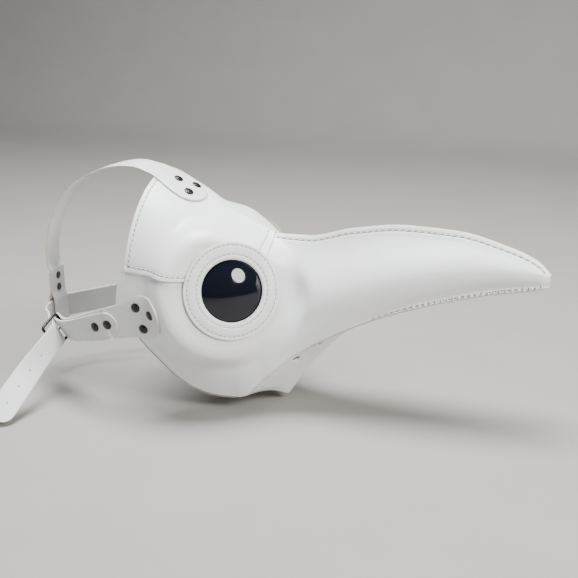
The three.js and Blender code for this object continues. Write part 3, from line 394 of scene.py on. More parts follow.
def seam_z(x):
    """Height of the lower edge of the forehead panel."""
    return SEAM_HEIGHT - SEAM_FALL * (x - FOREHEAD_REAR_X)


_jaw = smooth_through([a * FACE_DEPTH for a, _ in JAW], [z * MASK_HEIGHT for _, z in JAW])
CHEEK_REAR_X = JAW[0][0] * FACE_DEPTH


def panel_top(x):
    """Station of the upper edge of the side panel."""
    climb = ramp(x, EYE_X - LENS_RADIUS, FRONT_SEAM_X - SEAM_LAP)
    return lerp(station_at_z(x, seam_z(x) + SEAM_LAP), 0, climb)


def panel_foot(x):
    """Station of the lower edge of the side panel."""
    return np.where(x < CHIN_X, np.minimum(station_at_z(x, _jaw(x)), 1), 1)


# ---------------------------------------------------------------- settings


class MaskLeatherSettings(bpy.types.PropertyGroup):
    """Colours and grain of the leather."""
    face: bpy.props.FloatVectorProperty(
        name="Face", description="Colour of the finished side", subtype="COLOR", size=3,
        min=0, max=1, default=(0.86, 0.868, 0.872))
    edge: bpy.props.FloatVectorProperty(
        name="Cut Edge", description="Colour of the raw edges", subtype="COLOR", size=3,
        min=0, max=1, default=(0.70, 0.655, 0.57))
    flesh: bpy.props.FloatVectorProperty(
        name="Flesh Side", description="Colour of the unfinished side", subtype="COLOR", size=3,
        min=0, max=1, default=(0.56, 0.535, 0.47))
    grain: bpy.props.FloatProperty(
        name="Grain Size", description="Width of one pebble of the grain", unit="LENGTH",
        min=0.0002, max=0.005, default=0.0011)
    gloss: bpy.props.FloatProperty(
        name="Roughness", description="Roughness of the finished side", subtype="FACTOR",
        min=0.05, max=1, default=0.36)


class MaskThreadSettings(bpy.types.PropertyGroup):
    """Size and colour of the stitches."""
    colour: bpy.props.FloatVectorProperty(
        name="Thread", description="Colour of the thread", subtype="COLOR", size=3,
        min=0, max=1, default=(0.80, 0.80, 0.80))
    thickness: bpy.props.FloatProperty(
        name="Thickness", description="Thickness of the thread", unit="LENGTH",
        min=0.0003, max=0.003, default=0.00105)


class MaskMetalSettings(bpy.types.PropertyGroup):
    """Finish of the rivets and the buckle."""
    dark: bpy.props.FloatVectorProperty(
        name="Blackening", description="Colour of the blackened metal", subtype="COLOR", size=3,
        min=0, max=1, default=(0.012, 0.011, 0.010))
    worn: bpy.props.FloatVectorProperty(
        name="Worn Metal", description="Colour where the blackening has rubbed off",
        subtype="COLOR", size=3, min=0, max=1, default=(0.24, 0.215, 0.19))


class MaskLensSettings(bpy.types.PropertyGroup):
    """Finish of the lenses."""
    smoke: bpy.props.FloatVectorProperty(
        name="Smoke", description="Colour of the smoked lenses", subtype="COLOR", size=3,
        min=0, max=1, default=(0.004, 0.005, 0.010))


class MaskStageSettings(bpy.types.PropertyGroup):
    """Floor and lights."""
    floor: bpy.props.FloatVectorProperty(
        name="Floor", description="Colour of the floor", subtype="COLOR", size=3,
        min=0, max=1, default=(0.30, 0.287, 0.265))
    key: bpy.props.FloatProperty(
        name="Key Light", description="Power of the main light", unit="POWER",
        min=0, max=500, default=46)


SETTINGS = {
    "mask_leather": MaskLeatherSettings,
    "mask_thread": MaskThreadSettings,
    "mask_metal": MaskMetalSettings,
    "mask_lens": MaskLensSettings,
    "mask_stage": MaskStageSettings,
}

# ---------------------------------------------------------------- materials


class Nodes:
    """Short calls for building one material's nodes."""

    def __init__(self, name):
        self.material = bpy.data.materials.new(name)
        self.material.use_nodes = True
        self.tree = self.material.node_tree
        self.shader = self.tree.nodes["Principled BSDF"]
        self.place = self.add("ShaderNodeTexCoord").outputs["Object"]

    def add(self, kind, **values):
        node = self.tree.nodes.new(kind)
        for key, value in values.items():
            setattr(node, key, value)
        return node

    def link(self, source, target):
        self.tree.links.new(source, target)

    def noise(self, scale, detail=3.0, roughness=0.55, stretch=None):
        node = self.add("ShaderNodeTexNoise")
        node.inputs["Scale"].default_value = scale
        node.inputs["Detail"].default_value = detail
        node.inputs["Roughness"].default_value = roughness
        place = self.place
        if stretch:
            mapping = self.add("ShaderNodeMapping")
            mapping.inputs["Scale"].default_value = stretch
            self.link(place, mapping.inputs["Vector"])
            place = mapping.outputs["Vector"]
        self.link(place, node.inputs["Vector"])
        return node.outputs["Fac"]

    def cells(self, scale, feature="F1"):
        node = self.add("ShaderNodeTexVoronoi", feature=feature)
        node.inputs["Scale"].default_value = scale
        self.link(self.place, node.inputs["Vector"])
        return node.outputs["Distance"]

    def spread(self, value, low, high, out_low=0.0, out_high=1.0):
        node = self.add("ShaderNodeMapRange")
        node.interpolation_type = "SMOOTHSTEP"
        for key, number in zip(("From Min", "From Max", "To Min", "To Max"),
                               (low, high, out_low, out_high)):
            node.inputs[key].default_value = number
        self.link(value, node.inputs["Value"])
        return node.outputs["Result"]

    def math(self, operation, a, b):
        node = self.add("ShaderNodeMath", operation=operation)
        for socket, value in zip(node.inputs, (a, b)):
            if isinstance(value, (int, float)):
                socket.default_value = value
            else:
                self.link(value, socket)
        return node.outputs[0]

    def mix(self, share, a, b):
        node = self.add("ShaderNodeMix", data_type="RGBA")
        for key, value in zip((0, 6, 7), (share, a, b)):
            if isinstance(value, tuple):
                node.inputs[key].default_value = (*value, 1)
            else:
                self.link(value, node.inputs[key])
        return node.outputs[2]

    def colour(self, value):
        self.link(value, self.shader.inputs["Base Color"])

    def rough(self, value):
        self.link(value, self.shader.inputs["Roughness"])

    def bump(self, height, depth, strength=1.0, under=None):
        """Adds a layer of relief of a real depth, in metres, on top of another layer."""
        node = self.add("ShaderNodeBump")
        node.inputs["Distance"].default_value = depth
        node.inputs["Strength"].default_value = strength
        self.link(height, node.inputs["Height"])
        if under is not None:
            self.link(under, node.inputs["Normal"])
        self.link(node.outputs["Normal"], self.shader.inputs["Normal"])
        return node.outputs["Normal"]


def shade(colour, factor):
    """A colour made lighter or darker."""
    return tuple(min(c * factor, 1.0) for c in colour)


def tint(colour, by):
    """A colour with each of its channels scaled."""
    return tuple(c * b for c, b in zip(colour, by))


def face_leather(name, settings, tone=1.0):
    """Coated white leather: fine pebble grain, soft creases, faint yellowing and handling marks."""
    n = Nodes(name)
    base = shade(tuple(settings.face), tone)
    aged = tint(base, (0.965, 0.945, 0.90))
    cloud = n.spread(n.noise(14, 4), 0.42, 0.74)
    grime = n.spread(n.noise(46, 6, 0.65), 0.60, 0.80, 0, 0.34)
    pebble = n.cells(1 / settings.grain)
    pores = n.spread(n.cells(0.55 / settings.grain), 0.0, 0.16, 1, 0)
    first = n.mix(n.math("MULTIPLY", cloud, 0.55), base, aged)
    second = n.mix(grime, first, tint(base, (0.90, 0.875, 0.83)))
    n.colour(n.mix(n.math("MULTIPLY", pores, 0.10), second, tint(base, (0.80, 0.77, 0.72))))
    gloss = settings.gloss
    n.rough(n.spread(n.noise(38, 5, 0.6), 0.3, 0.72, gloss - 0.07, gloss + 0.13))
    soft = n.bump(n.noise(34, 2), 0.0011, 0.30)
    creases = n.bump(n.noise(210, 5, 0.62), 0.00030, 0.34, soft)
    n.bump(n.math("ADD", pebble, n.noise(2600, 2)), 0.00011, 0.42, creases)
    n.shader.inputs["Coat Weight"].default_value = 0.16
    n.shader.inputs["Coat Roughness"].default_value = 0.24
    n.shader.inputs["Specular IOR Level"].default_value = 0.46
    return n.material


def edge_leather(settings, tone=1.0):
    """The cut edge: compressed fibres in thin darker and lighter streaks."""
    # A tone below 1 darkens the whole edge: painted shadow for the dark line under the eye rings' outer edge.
    n = Nodes("cut edge" if tone == 1.0 else "edge painted shadow")
    base = shade(tuple(settings.edge), tone)
    fibres = n.noise(900, 6, 0.7)
    layer = n.spread(n.noise(120, 4), 0.35, 0.7)
    first = n.mix(n.spread(fibres, 0.35, 0.68), tint(base, (0.74, 0.70, 0.62)), shade(base, 1.28))
    n.colour(n.mix(n.math("MULTIPLY", layer, 0.5), first, tint(base, (1.22, 1.24, 1.26))))
    n.rough(n.spread(fibres, 0.3, 0.7, 0.70, 0.92))
    n.bump(fibres, 0.00025, 0.6)
    return n.material


def flesh_leather(settings):
    """The unfinished side: short matted nap with soft blotches."""
    n = Nodes("flesh side")
    base = tuple(settings.flesh)
    nap = n.noise(1500, 5, 0.7)
    blotch = n.spread(n.noise(42, 5, 0.6), 0.35, 0.72)
    first = n.mix(n.spread(nap, 0.32, 0.7), tint(base, (0.72, 0.70, 0.66)), shade(base, 1.20))
    n.colour(n.mix(n.math("MULTIPLY", blotch, 0.45), first, tint(base, (0.84, 0.80, 0.72))))
    n.rough(n.spread(blotch, 0, 1, 0.86, 0.97))
    n.bump(nap, 0.00022, 0.5, n.bump(n.noise(240, 4), 0.0004, 0.35))
    n.shader.inputs["Sheen Weight"].default_value = 0.25
    return n.material


def waxed_thread(settings):
    """Waxed white thread with its twist and a little dirt."""
    n = Nodes("waxed thread")
    base = tuple(settings.colour)
    twist = n.noise(2400, 2, 0.5, (1, 1, 2.4))
    dirt = n.spread(n.noise(130, 3), 0.45, 0.75)
    first = n.mix(n.spread(twist, 0.35, 0.65), tint(base, (0.80, 0.79, 0.78)), base)
    n.colour(n.mix(n.math("MULTIPLY", dirt, 0.4), first, tint(base, (0.86, 0.82, 0.74))))
    n.rough(n.spread(twist, 0.3, 0.7, 0.42, 0.62))
    n.bump(twist, 0.00018, 0.7)
    return n.material


def painted_shade_hole():
    """Painted shade: the dark dimple that a needle leaves between two stitches, on a flat bead."""
    n = Nodes("needle hole painted shade")
    dust = n.spread(n.noise(900, 3), 0.35, 0.7)
    n.colour(n.mix(dust, (0.17, 0.175, 0.19), (0.33, 0.33, 0.34)))
    n.rough(n.spread(dust, 0, 1, 0.8, 0.95))
    n.bump(dust, 0.0001, 0.5)
    return n.material


def blackened_metal(settings):
    """Blackened steel with a hammered skin, rubbed bright in flecks."""
    n = Nodes("blackened metal")
    dark, worn = tuple(settings.dark), tuple(settings.worn)
    flecks = n.spread(n.noise(1250, 5, 0.62), 0.56, 0.70)
    cloud = n.spread(n.noise(420, 4), 0.36, 0.66)
    first = n.mix(cloud, dark, tint(dark, (2.3, 2.0, 1.7)))
    n.colour(n.mix(n.math("MULTIPLY", flecks, 0.75), first, worn))
    n.rough(n.spread(n.noise(700, 4), 0.32, 0.7, 0.18, 0.40))
    n.bump(flecks, 0.00010, 0.5, n.bump(n.cells(620), 0.00035, 0.55))
    n.shader.inputs["Metallic"].default_value = 0.55
    return n.material


def smoked_lens(settings):
    """Nearly black polished lens with faint smears and dust."""
    n = Nodes("smoked lens")
    base = tuple(settings.smoke)
    smear = n.noise(70, 4, 0.5, (1, 1, 0.35))
    dust = n.spread(n.noise(1900, 2), 0.70, 0.80, 0, 0.05)
    n.colour(n.mix(dust, base, (0.35, 0.34, 0.33)))
    n.rough(n.spread(smear, 0.35, 0.75, 0.035, 0.12))
    n.bump(n.noise(26, 2), 0.00035, 0.10)
    n.shader.inputs["IOR"].default_value = 1.5
    return n.material


def floor_paper(settings):
    """Plain pale seamless paper with a very faint mottle."""
    n = Nodes("floor paper")
    base = tuple(settings.floor)
    n.colour(n.mix(n.spread(n.noise(9, 5), 0.3, 0.7), base, shade(base, 1.035)))
    n.rough(n.spread(n.noise(300, 3), 0.3, 0.7, 0.82, 0.94))
    return n.material


FINISHES = {}


def finish(name):
    """A material by its short name, made the first time that it is asked for."""
    scene = bpy.context.scene
    makers = {
        "face": lambda: face_leather("white leather", scene.mask_leather),
        "strap": lambda: face_leather("strap leather", scene.mask_leather, 0.86),
        # The back of the straps is a darker copy of the same leather: painted shade for the side that faces
        # the head.
        "strap back painted shade": lambda: face_leather("strap back painted shade", scene.mask_leather, 0.80),
        "hole": painted_shade_hole,
        "edge": lambda: edge_leather(scene.mask_leather),
        # The eye rings' edge darkened to 0.3: painted shadow for the line under their outer edge.
        "painted shadow edge": lambda: edge_leather(scene.mask_leather, 0.3),
        "flesh": lambda: flesh_leather(scene.mask_leather),
        "thread": lambda: waxed_thread(scene.mask_thread),
        "metal": lambda: blackened_metal(scene.mask_metal),
        "lens": lambda: smoked_lens(scene.mask_lens),
        "floor": lambda: floor_paper(scene.mask_stage),
    }
    if name not in FINISHES:
        FINISHES[name] = makers[name]()
    return FINISHES[name]


# ---------------------------------------------------------------- building pieces


def start_clean():
    """Leaves edit mode and selects nothing."""
    if bpy.context.object and bpy.context.object.mode != "OBJECT":
        bpy.ops.object.mode_set(mode="OBJECT")
    bpy.ops.object.select_all(action="DESELECT")


def pick(obj):
    """Makes a piece the only selected one."""
    start_clean()
    obj.select_set(True)
    bpy.context.view_layer.objects.active = obj
    return obj


def set_points(obj, points):
    """Gives a mesh its points, in metres."""
    obj.data.vertices.foreach_set("co", np.asarray(points, np.float32).ravel())
    obj.data.update()


def get_points(obj):
    """The points of a mesh, in metres."""
    points = np.empty(len(obj.data.vertices) * 3, np.float32)
    obj.data.vertices.foreach_get("co", points)
    return points.reshape(-1, 3).astype(float)


def dress(obj, *finishes):
    """Gives a piece its finishes, in the order of its material slots."""
    obj.data.materials.clear()
    for name in finishes:
        obj.data.materials.append(finish(name))
    return obj


def sheet(name, grid, outward):
    """A sheet laid through a grid of points in millimetres. outward is a point's outward direction
    at the middle of the grid, which says which side is the face."""
    rows, columns = grid.shape[:2]
    start_clean()
    bpy.ops.mesh.primitive_grid_add(x_subdivisions=columns - 1, y_subdivisions=rows - 1, size=1)
    obj = bpy.context.object
    obj.name = name
    flat = get_points(obj)
    i = np.rint((flat[:, 1] + 0.5) * (rows - 1)).astype(int)
    j = np.rint((flat[:, 0] + 0.5) * (columns - 1)).astype(int)
    set_points(obj, grid[i, j] * MM)
    middle = grid[rows // 2, columns // 2]
    across = grid[rows // 2, min(columns // 2 + 1, columns - 1)] - middle
    along = grid[min(rows // 2 + 1, rows - 1), columns // 2] - middle
    if np.dot(np.cross(across, along), outward) < 0:
        bpy.ops.object.mode_set(mode="EDIT")
        bpy.ops.mesh.select_all(action="SELECT")
        bpy.ops.mesh.flip_normals()
        bpy.ops.object.mode_set(mode="OBJECT")
    return obj


def apply_modifier(obj, kind, **values):
    """Adds one modifier to a piece and applies it."""
    pick(obj)
    modifier = obj.modifiers.new(kind.title(), kind)
    for key, value in values.items():
        setattr(modifier, key, value)
    bpy.ops.object.modifier_apply(modifier=modifier.name)
    return obj


def thicken(obj, thickness=LEATHER, offset=-1.0, finishes=("face", "edge", "flesh"), even=True):
    """Gives a sheet its leather thickness, a cut edge and a flesh side, and eases its corners."""
    dress(obj, *finishes)
    apply_modifier(obj, "SOLIDIFY", thickness=thickness * MM, offset=offset, use_even_offset=even,
                   use_rim=True, material_offset=2, material_offset_rim=1)
    apply_modifier(obj, "BEVEL", width=0.00028, segments=2, limit_method="ANGLE",
                   angle_limit=math.radians(50), use_clamp_overlap=True)
    return smooth(obj, 38)


def smooth(obj, degrees):
    """Smooths the shading of a piece up to an angle in degrees."""
    pick(obj)
    bpy.ops.object.shade_smooth_by_angle(angle=math.radians(degrees))
    return obj


def bore(obj, tools):
    """Cuts closed tools out of a piece and removes them."""
    for tool in tools:
        apply_modifier(obj, "BOOLEAN", operation="DIFFERENCE", object=tool, solver="EXACT")
        bpy.data.objects.remove(tool)
    return obj


def turned_frame(axis):
    """Two directions that stand at right angles to an axis and to each other."""
    axis = unit(axis)
    side = np.cross(axis, [0, 0, 1]) if abs(axis[2]) < 0.9 else np.cross(axis, [1, 0, 0])
    side = unit(side)
    return side, np.cross(axis, side), axis


def punch(origin, axis, radius, low, high, corners=48):
    """A round punch along an axis, from one height to another, in millimetres."""
    start_clean()
    bpy.ops.mesh.primitive_cylinder_add(vertices=corners, radius=radius * MM, depth=(high - low) * MM)
    tool = bpy.context.object
    points = get_points(tool)
    u, v, w = turned_frame(axis)
    points[:, 2] += (high + low) / 2 * MM
    set_points(tool, points @ np.array([u, v, w]) + np.asarray(origin) * MM)
    return tool


def turned(name, profile, origin, axis, steps=96):
    """A turned piece: its outline, in [radius, height] pairs, is spun once round an axis."""
    start_clean()
    bpy.ops.mesh.primitive_circle_add(vertices=len(profile), radius=1, fill_type="NOTHING")
    obj = bpy.context.object
    obj.name = name
    set_points(obj, [(r * MM, 0, h * MM) for r, h in profile])
    bpy.ops.object.mode_set(mode="EDIT")
    bpy.ops.mesh.select_all(action="SELECT")
    bpy.ops.mesh.spin(steps=steps, angle=2 * math.pi, center=(0, 0, 0), axis=(0, 0, 1), dupli=False)
    bpy.ops.mesh.select_all(action="SELECT")
    bpy.ops.mesh.remove_doubles(threshold=0.00001)
    bpy.ops.mesh.dissolve_degenerate(threshold=0.000005)
    bpy.ops.mesh.normals_make_consistent(inside=False)
    bpy.ops.object.mode_set(mode="OBJECT")
    points = get_points(obj)
    set_points(obj, points @ np.array(turned_frame(axis)) + np.asarray(origin) * MM)
    return obj


def keep(obj, body, slot, *nodes):
    """Hands a finished piece to the frame."""
    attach(obj, body)
    if nodes:
        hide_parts(*nodes)
    return obj


def round_section(profile, radius=0.4, steps=4):
    """Rounds every corner of a closed outline."""
    points = [np.array(p, float) for p in profile]
    out = []
    for before, corner, after in zip(points[-1:] + points[:-1], points, points[1:] + points[:1]):
        cut = min(radius, np.linalg.norm(before - corner) / 2, np.linalg.norm(after - corner) / 2)
        a, b = corner + unit(before - corner) * cut, corner + unit(after - corner) * cut
        for t in np.linspace(0, 1, steps):
            out.append(tuple(lerp(lerp(a, corner, t), lerp(corner, b, t), t)))
    return out


# ---------------------------------------------------------------- shell shapes

PANEL_COLUMNS = 330
PANEL_ROWS = 84
FLANGE_ROWS = 9


def flange_shape(x):
    """How far the seam allowance stands out at a place along the seam, and how far it is bent."""
    grow = ramp(x, CHIN_X - 3, CHIN_X + 26)
    reach = lerp(0.3, 1, ramp(x, ROPE_START_X - 60, ROPE_START_X))
    fade = 1 - 0.55 * ramp(x, BEAK_TIP_X - 40, BEAK_TIP_X)
    return 0.4 + (FLANGE_WIDTH - 0.4) * grow * fade * reach, FLANGE_TURN * grow


def flange_points(x, station, offset, share):
    """Points of the seam allowance of the right panel. offset is the depth below the panel's face
    and share runs from 0, where it leaves the panel, over the bend to 1 at its edge."""
    x, station, share = np.broadcast_arrays(x, station, share)
    width, turn = flange_shape(x)
    normal, down = skin_frame(x, station)
    centre = right_skin(x, station) + normal * FLANGE_BEND
    angle = turn * np.clip(share / 0.5, 0, 1)
    run = width * np.clip((share - 0.5) / 0.5, 0, 1)
    facing = normal * np.cos(angle)[..., None] - down * np.sin(angle)[..., None]
    ahead = down * np.cos(angle)[..., None] + normal * np.sin(angle)[..., None]
    radius = FLANGE_BEND - LEATHER + offset
    return centre - facing * radius + ahead * run[..., None]


def lip_line(side, x, offset, share):
    """A line along the seam allowance of either panel, offset below its face."""
    return to_side(flange_points(x, np.ones_like(x), offset, np.full_like(x, share)), side)


def edge_rows(total, band, band_rows, count):
    """Distances down a section: evenly fine within a band at the start, then spreading out."""
    band = np.minimum(band, 0.4 * total)[..., None]
    fine = np.linspace(0, 1, band_rows + 1)[None]
    rest = np.linspace(0, 1, count - band_rows)[None, 1:]
    return np.concatenate([band * fine, band + (total[..., None] - band) * rest], axis=-1)


def panel_places():
    """X and station of every point of the side panel's grid, one column for each place along."""
    t = np.linspace(0, 1, PANEL_COLUMNS)
    x = lerp(CHEEK_REAR_X, BEAK_TIP_X, t)
    top, foot = panel_top(x), panel_foot(x)
    probe = np.linspace(0, 1, 90)
    stations = top[:, None] + (foot - top)[:, None] * probe[None]
    points = right_skin(np.broadcast_to(x[:, None], stations.shape), stations)
    steps = np.linalg.norm(np.diff(points, axis=1), axis=-1)
    lengths = np.concatenate([np.zeros((len(x), 1)), np.cumsum(steps, axis=1)], axis=1)
    distance = edge_rows(lengths[:, -1], 8.0, 20, PANEL_ROWS)
    share = np.stack([np.interp(d, row, probe) for d, row in zip(distance, lengths)])
    reach = 1 - ramp(x, CHEEK_REAR_X, CHEEK_REAR_X + 5 * CHEEK_LEAN)
    lean = CHEEK_LEAN * (1 - share) ** 2 * reach[:, None]
    station = top[:, None] + (foot - top)[:, None] * share
    return x[:, None] + lean, station, distance


def side_panel_grid(side):
    """The face of a side panel, with its sewn ridge and seam allowance."""
    x, station, distance = panel_places()
    on_ridge = ramp(x, FRONT_SEAM_X - 2, FRONT_SEAM_X + 10) * (1 - ramp(x, BEAK_TIP_X - 9, BEAK_TIP_X - 3))
    groove = mound(distance - FIN_STITCH, GROOVE_HALF)
    plump = mound(distance - FIN_STITCH / 2, 1.5) * 0.18
    below = mound(distance - FIN_STITCH - 2.6, 1.8) * 0.16
    pucker = 0.10 * np.cos(2 * math.pi * x / 6.2) * mound(distance - FIN_STITCH, 3.2)
    height = LEATHER + on_ridge * (plump + below - GROOVE_DEPTH * groove + pucker)
    body = skin(RIGHT, x, station, height)
    share = np.linspace(0, 1, FLANGE_ROWS + 1)[1:]
    foot_x, foot_station = x[:, -1:], station[:, -1:]
    lip = flange_points(foot_x, foot_station, 0.0, share[None])
    return to_side(np.concatenate([body, lip], axis=1), side)


FOREHEAD_COLUMNS = 120
FOREHEAD_ROWS = 190


def forehead_places(along, across):
    """X and station of a place of the forehead panel: along 0 is its rear edge, across -1 to 1."""
    peak = FOREHEAD_PEAK * (1 - across ** 2)
    x = lerp(FOREHEAD_REAR_X + peak, FRONT_SEAM_X, along)
    return x, np.abs(across) * station_at_z(x, seam_z(x))


def crest(x, height):
    """The skin's crest line at a height above the inner face."""
    x = np.asarray(x, float)
    normal = skin_frame(x, 0 * x)[0] * np.array([1, 0, 1])
    point = right_skin(x, 0 * x) * np.array([1, 0, 1])
    return point + unit(normal) * np.broadcast_to(height, x.shape)[..., None]


def over_crest(x, station, across, height):
    """Points of a piece that lies over the crest, on the right where across is below 0."""
    right = skin(RIGHT, x, station, height)
    point = np.where((across < 0)[..., None], right, to_side(right, LEFT))
    near = mound(station, 0.02)[..., None]
    middle = crest(x, height)
    middle = np.stack([point[..., 0], 0.6 * point[..., 1], lerp(point[..., 2], middle[..., 2], 0.6)], axis=-1)
    return lerp(point, middle, near * 0.5)


def forehead_grid():
    """The face of the forehead panel, sunk a little along its stitches."""
    v = np.linspace(-1, 1, FOREHEAD_ROWS)
    across = np.sign(v) * (1 - (1 - np.abs(v)) ** 1.15)
    along = np.linspace(0, 1, FOREHEAD_COLUMNS)
    along, across = np.meshgrid(along, across, indexing="ij")
    x, station = forehead_places(along, across)
    rear = (x - FOREHEAD_REAR_X - FOREHEAD_PEAK * (1 - across ** 2))
    edge = (1 - np.abs(across)) * 95
    groove = mound(rear - 4, 1.1) + mound(FRONT_SEAM_X - x - 7, 1.1)
    groove += mound(edge - 3.6, 1.1)
    plump = 0.2 * (mound(rear - 1.8, 1.3) + mound(edge - 1.6, 1.3))
    height = OVER + plump - 0.7 * GROOVE_DEPTH * groove
    return over_crest(x, station, across, height)


def seam_foot(x):
    """Where the gusset meets the bent seam allowance of the right panel."""
    return flange_points(x, np.ones_like(x), LEATHER + SEAM_SLACK, np.full_like(x, 0.5))


def gusset_point(along, across):
    """The right half of the gusset's upper face: across 0 is the crease and 1 the seam."""
    front = BEAK_TIP_X - GUSSET_END
    seam_x = lerp(CHIN_X, front, along)
    crease_x = seam_x + CREASE_LEAD * (1 - along) ** 3
    ahead = np.maximum((crease_x - CHIN_X - CREASE_LEAD) / CREASE_REACH, 0)
    drop = CREASE_LEAST + (CREASE_DROP - CREASE_LEAST) * np.exp(-(ahead ** 1.3))
    fade = np.clip((1 - along) * 8, 0, 1)
    crease_z = right_skin(crease_x, np.ones_like(crease_x))[..., 2] - drop * fade
    crease_line = np.stack([crease_x, 0 * crease_x, crease_z], axis=-1)
    edge = seam_foot(seam_x)
    point = lerp(crease_line, edge, across[..., None])
    sweep = GUSSET_SWEEP * 4 * across * (1 - across) * np.exp(-14 * along)
    point[..., 0] += 0.4 * sweep
    point[..., 2] += sweep
    return point


def gusset_grid():
    """The upper face of the gusset, from one seam over the crease to the other."""
    count = 230
    along = np.linspace(0, 1, count)
    across = np.linspace(0, 1, 26)
    web = gusset_point(*np.meshgrid(along, across, indexing="ij"))
    seam_x = lerp(CHIN_X, BEAK_TIP_X - GUSSET_END, along)[:, None]
    share = np.linspace(0.5, 1, 6)[None, 1:]
    lip = flange_points(seam_x, np.ones_like(seam_x), LEATHER + SEAM_SLACK, share)
    half = np.concatenate([web, lip], axis=1)
    round_crease = mound(np.linspace(0, 1, half.shape[1]), 0.05)
    half[..., 2] += 0.5 * round_crease[None] * ramp(1 - along, 0, 0.4)[:, None]
    other = to_side(half, LEFT)
    return np.concatenate([half[:, ::-1], other[:, 1:]], axis=1)


# ---------------------------------------------------------------- strap shapes

HEEL_ACROSS = unit([0.24, 0.416, -0.879])
_raw = np.array([-0.15, -0.86, -0.49])
BUCKLE_WAY = unit(_raw - HEEL_ACROSS * (_raw @ HEEL_ACROSS))
BUCKLE_FACE = unit(np.cross(BUCKLE_WAY, HEEL_ACROSS))
HEEL = np.array([-64, -0.268 * MASK_WIDTH, -56])
TAIL_ACROSS = unit([0.836, 0.099, -0.538])
SIDE_SLOPE = math.hypot(1, SIDE_FALL)
DRAPE_REAR_X = 8.0
LAYER_HALF = (LEATHER + GAP) / 2
LOOP_RADIUS = WIRE_RADIUS + GAP + LEATHER / 2
OPEN_LENGTH = 0.62
TAB_ARRIVAL = np.array([-0.54, 0.82, -0.2])
TAB_IN = unit(TAB_ARRIVAL - HEEL_ACROSS * (TAB_ARRIVAL @ HEEL_ACROSS))
STRAP_COLUMNS = 15
CROWN_SLOPE = 0.92
CROWN_LEAVE_X = FOREHEAD_REAR_X + FOREHEAD_PEAK - 6
CROWN_LOOP = LEATHER + GAP + LEATHER / 2 + 0.6
CROWN_LOOP_Z = REAR_Z - STRAP_WIDTH / 2 - GAP
CROWN_SPLIT_Z = CROWN_LOOP_RIVETS[1] + 8


def buckle_spot(way, face):
    """A point in the buckle's own directions, from the heel bar."""
    return HEEL + BUCKLE_WAY * way + BUCKLE_FACE * face


TAIL_START = buckle_spot(BUCKLE_REACH, TAIL_RIDE)


def side_half(behind):
    """Half the width of a side strap at a distance behind the middle of its paddle."""
    if behind <= 0:
        return math.sqrt(max(PADDLE_RADIUS ** 2 - behind ** 2, 0))
    if behind < NECK_LENGTH:
        return lerp(PADDLE_RADIUS, NECK_WIDTH / 2, ramp(behind, 0, NECK_LENGTH))
    return lerp(NECK_WIDTH / 2, STRAP_WIDTH / 2,
                min(max((behind - NECK_LENGTH) / (TAPER_LENGTH - NECK_LENGTH), 0), 1))


def crown_half(behind):
    """Half the width of the crown strap behind the middle of its paddle."""
    if behind <= 0:
        return math.sqrt(max(PADDLE_RADIUS ** 2 - behind ** 2, 0))
    return lerp(PADDLE_RADIUS, STRAP_WIDTH / 2, ramp(behind, 0, CROWN_TAPER))


def side_line_z(x):
    """Height of the middle line of a side strap."""
    return SIDE_PADDLE_Z + SIDE_FALL * (x - SIDE_PADDLE_X)


def widths(half):
    """Distances of a strap row's points from its middle."""
    return half * np.linspace(-1, 1, STRAP_COLUMNS)


def cheek_row(side, x, half, height):
    """A row of a side strap lying on the cheek."""
    offset = widths(half)
    spot_x = x + offset * SIDE_FALL / SIDE_SLOPE
    spot_z = side_line_z(x) - offset / SIDE_SLOPE
    return skin(side, spot_x, station_at_z(spot_x, spot_z), height)


def cheek_point(side, x, height):
    """A point of a side strap's middle line on the cheek."""
    return skin(side, x, station_at_z(x, side_line_z(x)), height)


def round_end(radius, count):
    """Distances at which a round end is sampled, from its far end to its middle."""
    return [-radius * math.cos(math.pi / 2 * (i + 0.35) / count) for i in range(count)]


def cheek_rows(side):
    """The rows of a side strap from its round end to where it leaves the cheek."""
    straight = (SIDE_PADDLE_X - DRAPE_REAR_X) * SIDE_SLOPE
    places = round_end(PADDLE_RADIUS, 22) + list(np.linspace(0, straight, 26))
    return [cheek_row(side, SIDE_PADDLE_X - b / SIDE_SLOPE, side_half(b), SECOND_MIDDLE) for b in places]


def curve_rows(path, wanted, half):
    """Rows along a path: its width runs as near to a wanted direction as it can. wanted and half
    hold one value for each point of the path. Returns the rows, their across and their normals."""
    tangent = unit(np.gradient(path, axis=0))
    across = unit(wanted - tangent * np.sum(wanted * tangent, axis=1, keepdims=True))
    normal = unit(np.cross(across, tangent))
    share = np.linspace(-1, 1, STRAP_COLUMNS)
    rows = path[:, None] + across[:, None] * (share[None, :] * half[:, None])[..., None]
    return rows, across, normal


def tab_path():
    """The middle line of the right side strap from the cheek to the heel bar."""
    start = cheek_point(RIGHT, DRAPE_REAR_X, SECOND_MIDDLE + LAYER_HALF)
    before = cheek_point(RIGHT, DRAPE_REAR_X + 4, SECOND_MIDDLE + LAYER_HALF)
    leave = unit(start - before)
    reach = np.linalg.norm(start - HEEL) / 3
    t = np.linspace(0, 1, 200)[:, None]
    curve = bezier(start, start + leave * reach, HEEL - TAB_IN * reach, HEEL, t)
    return resample(curve, np.linspace(0, lengths_along(curve)[-1], 61))


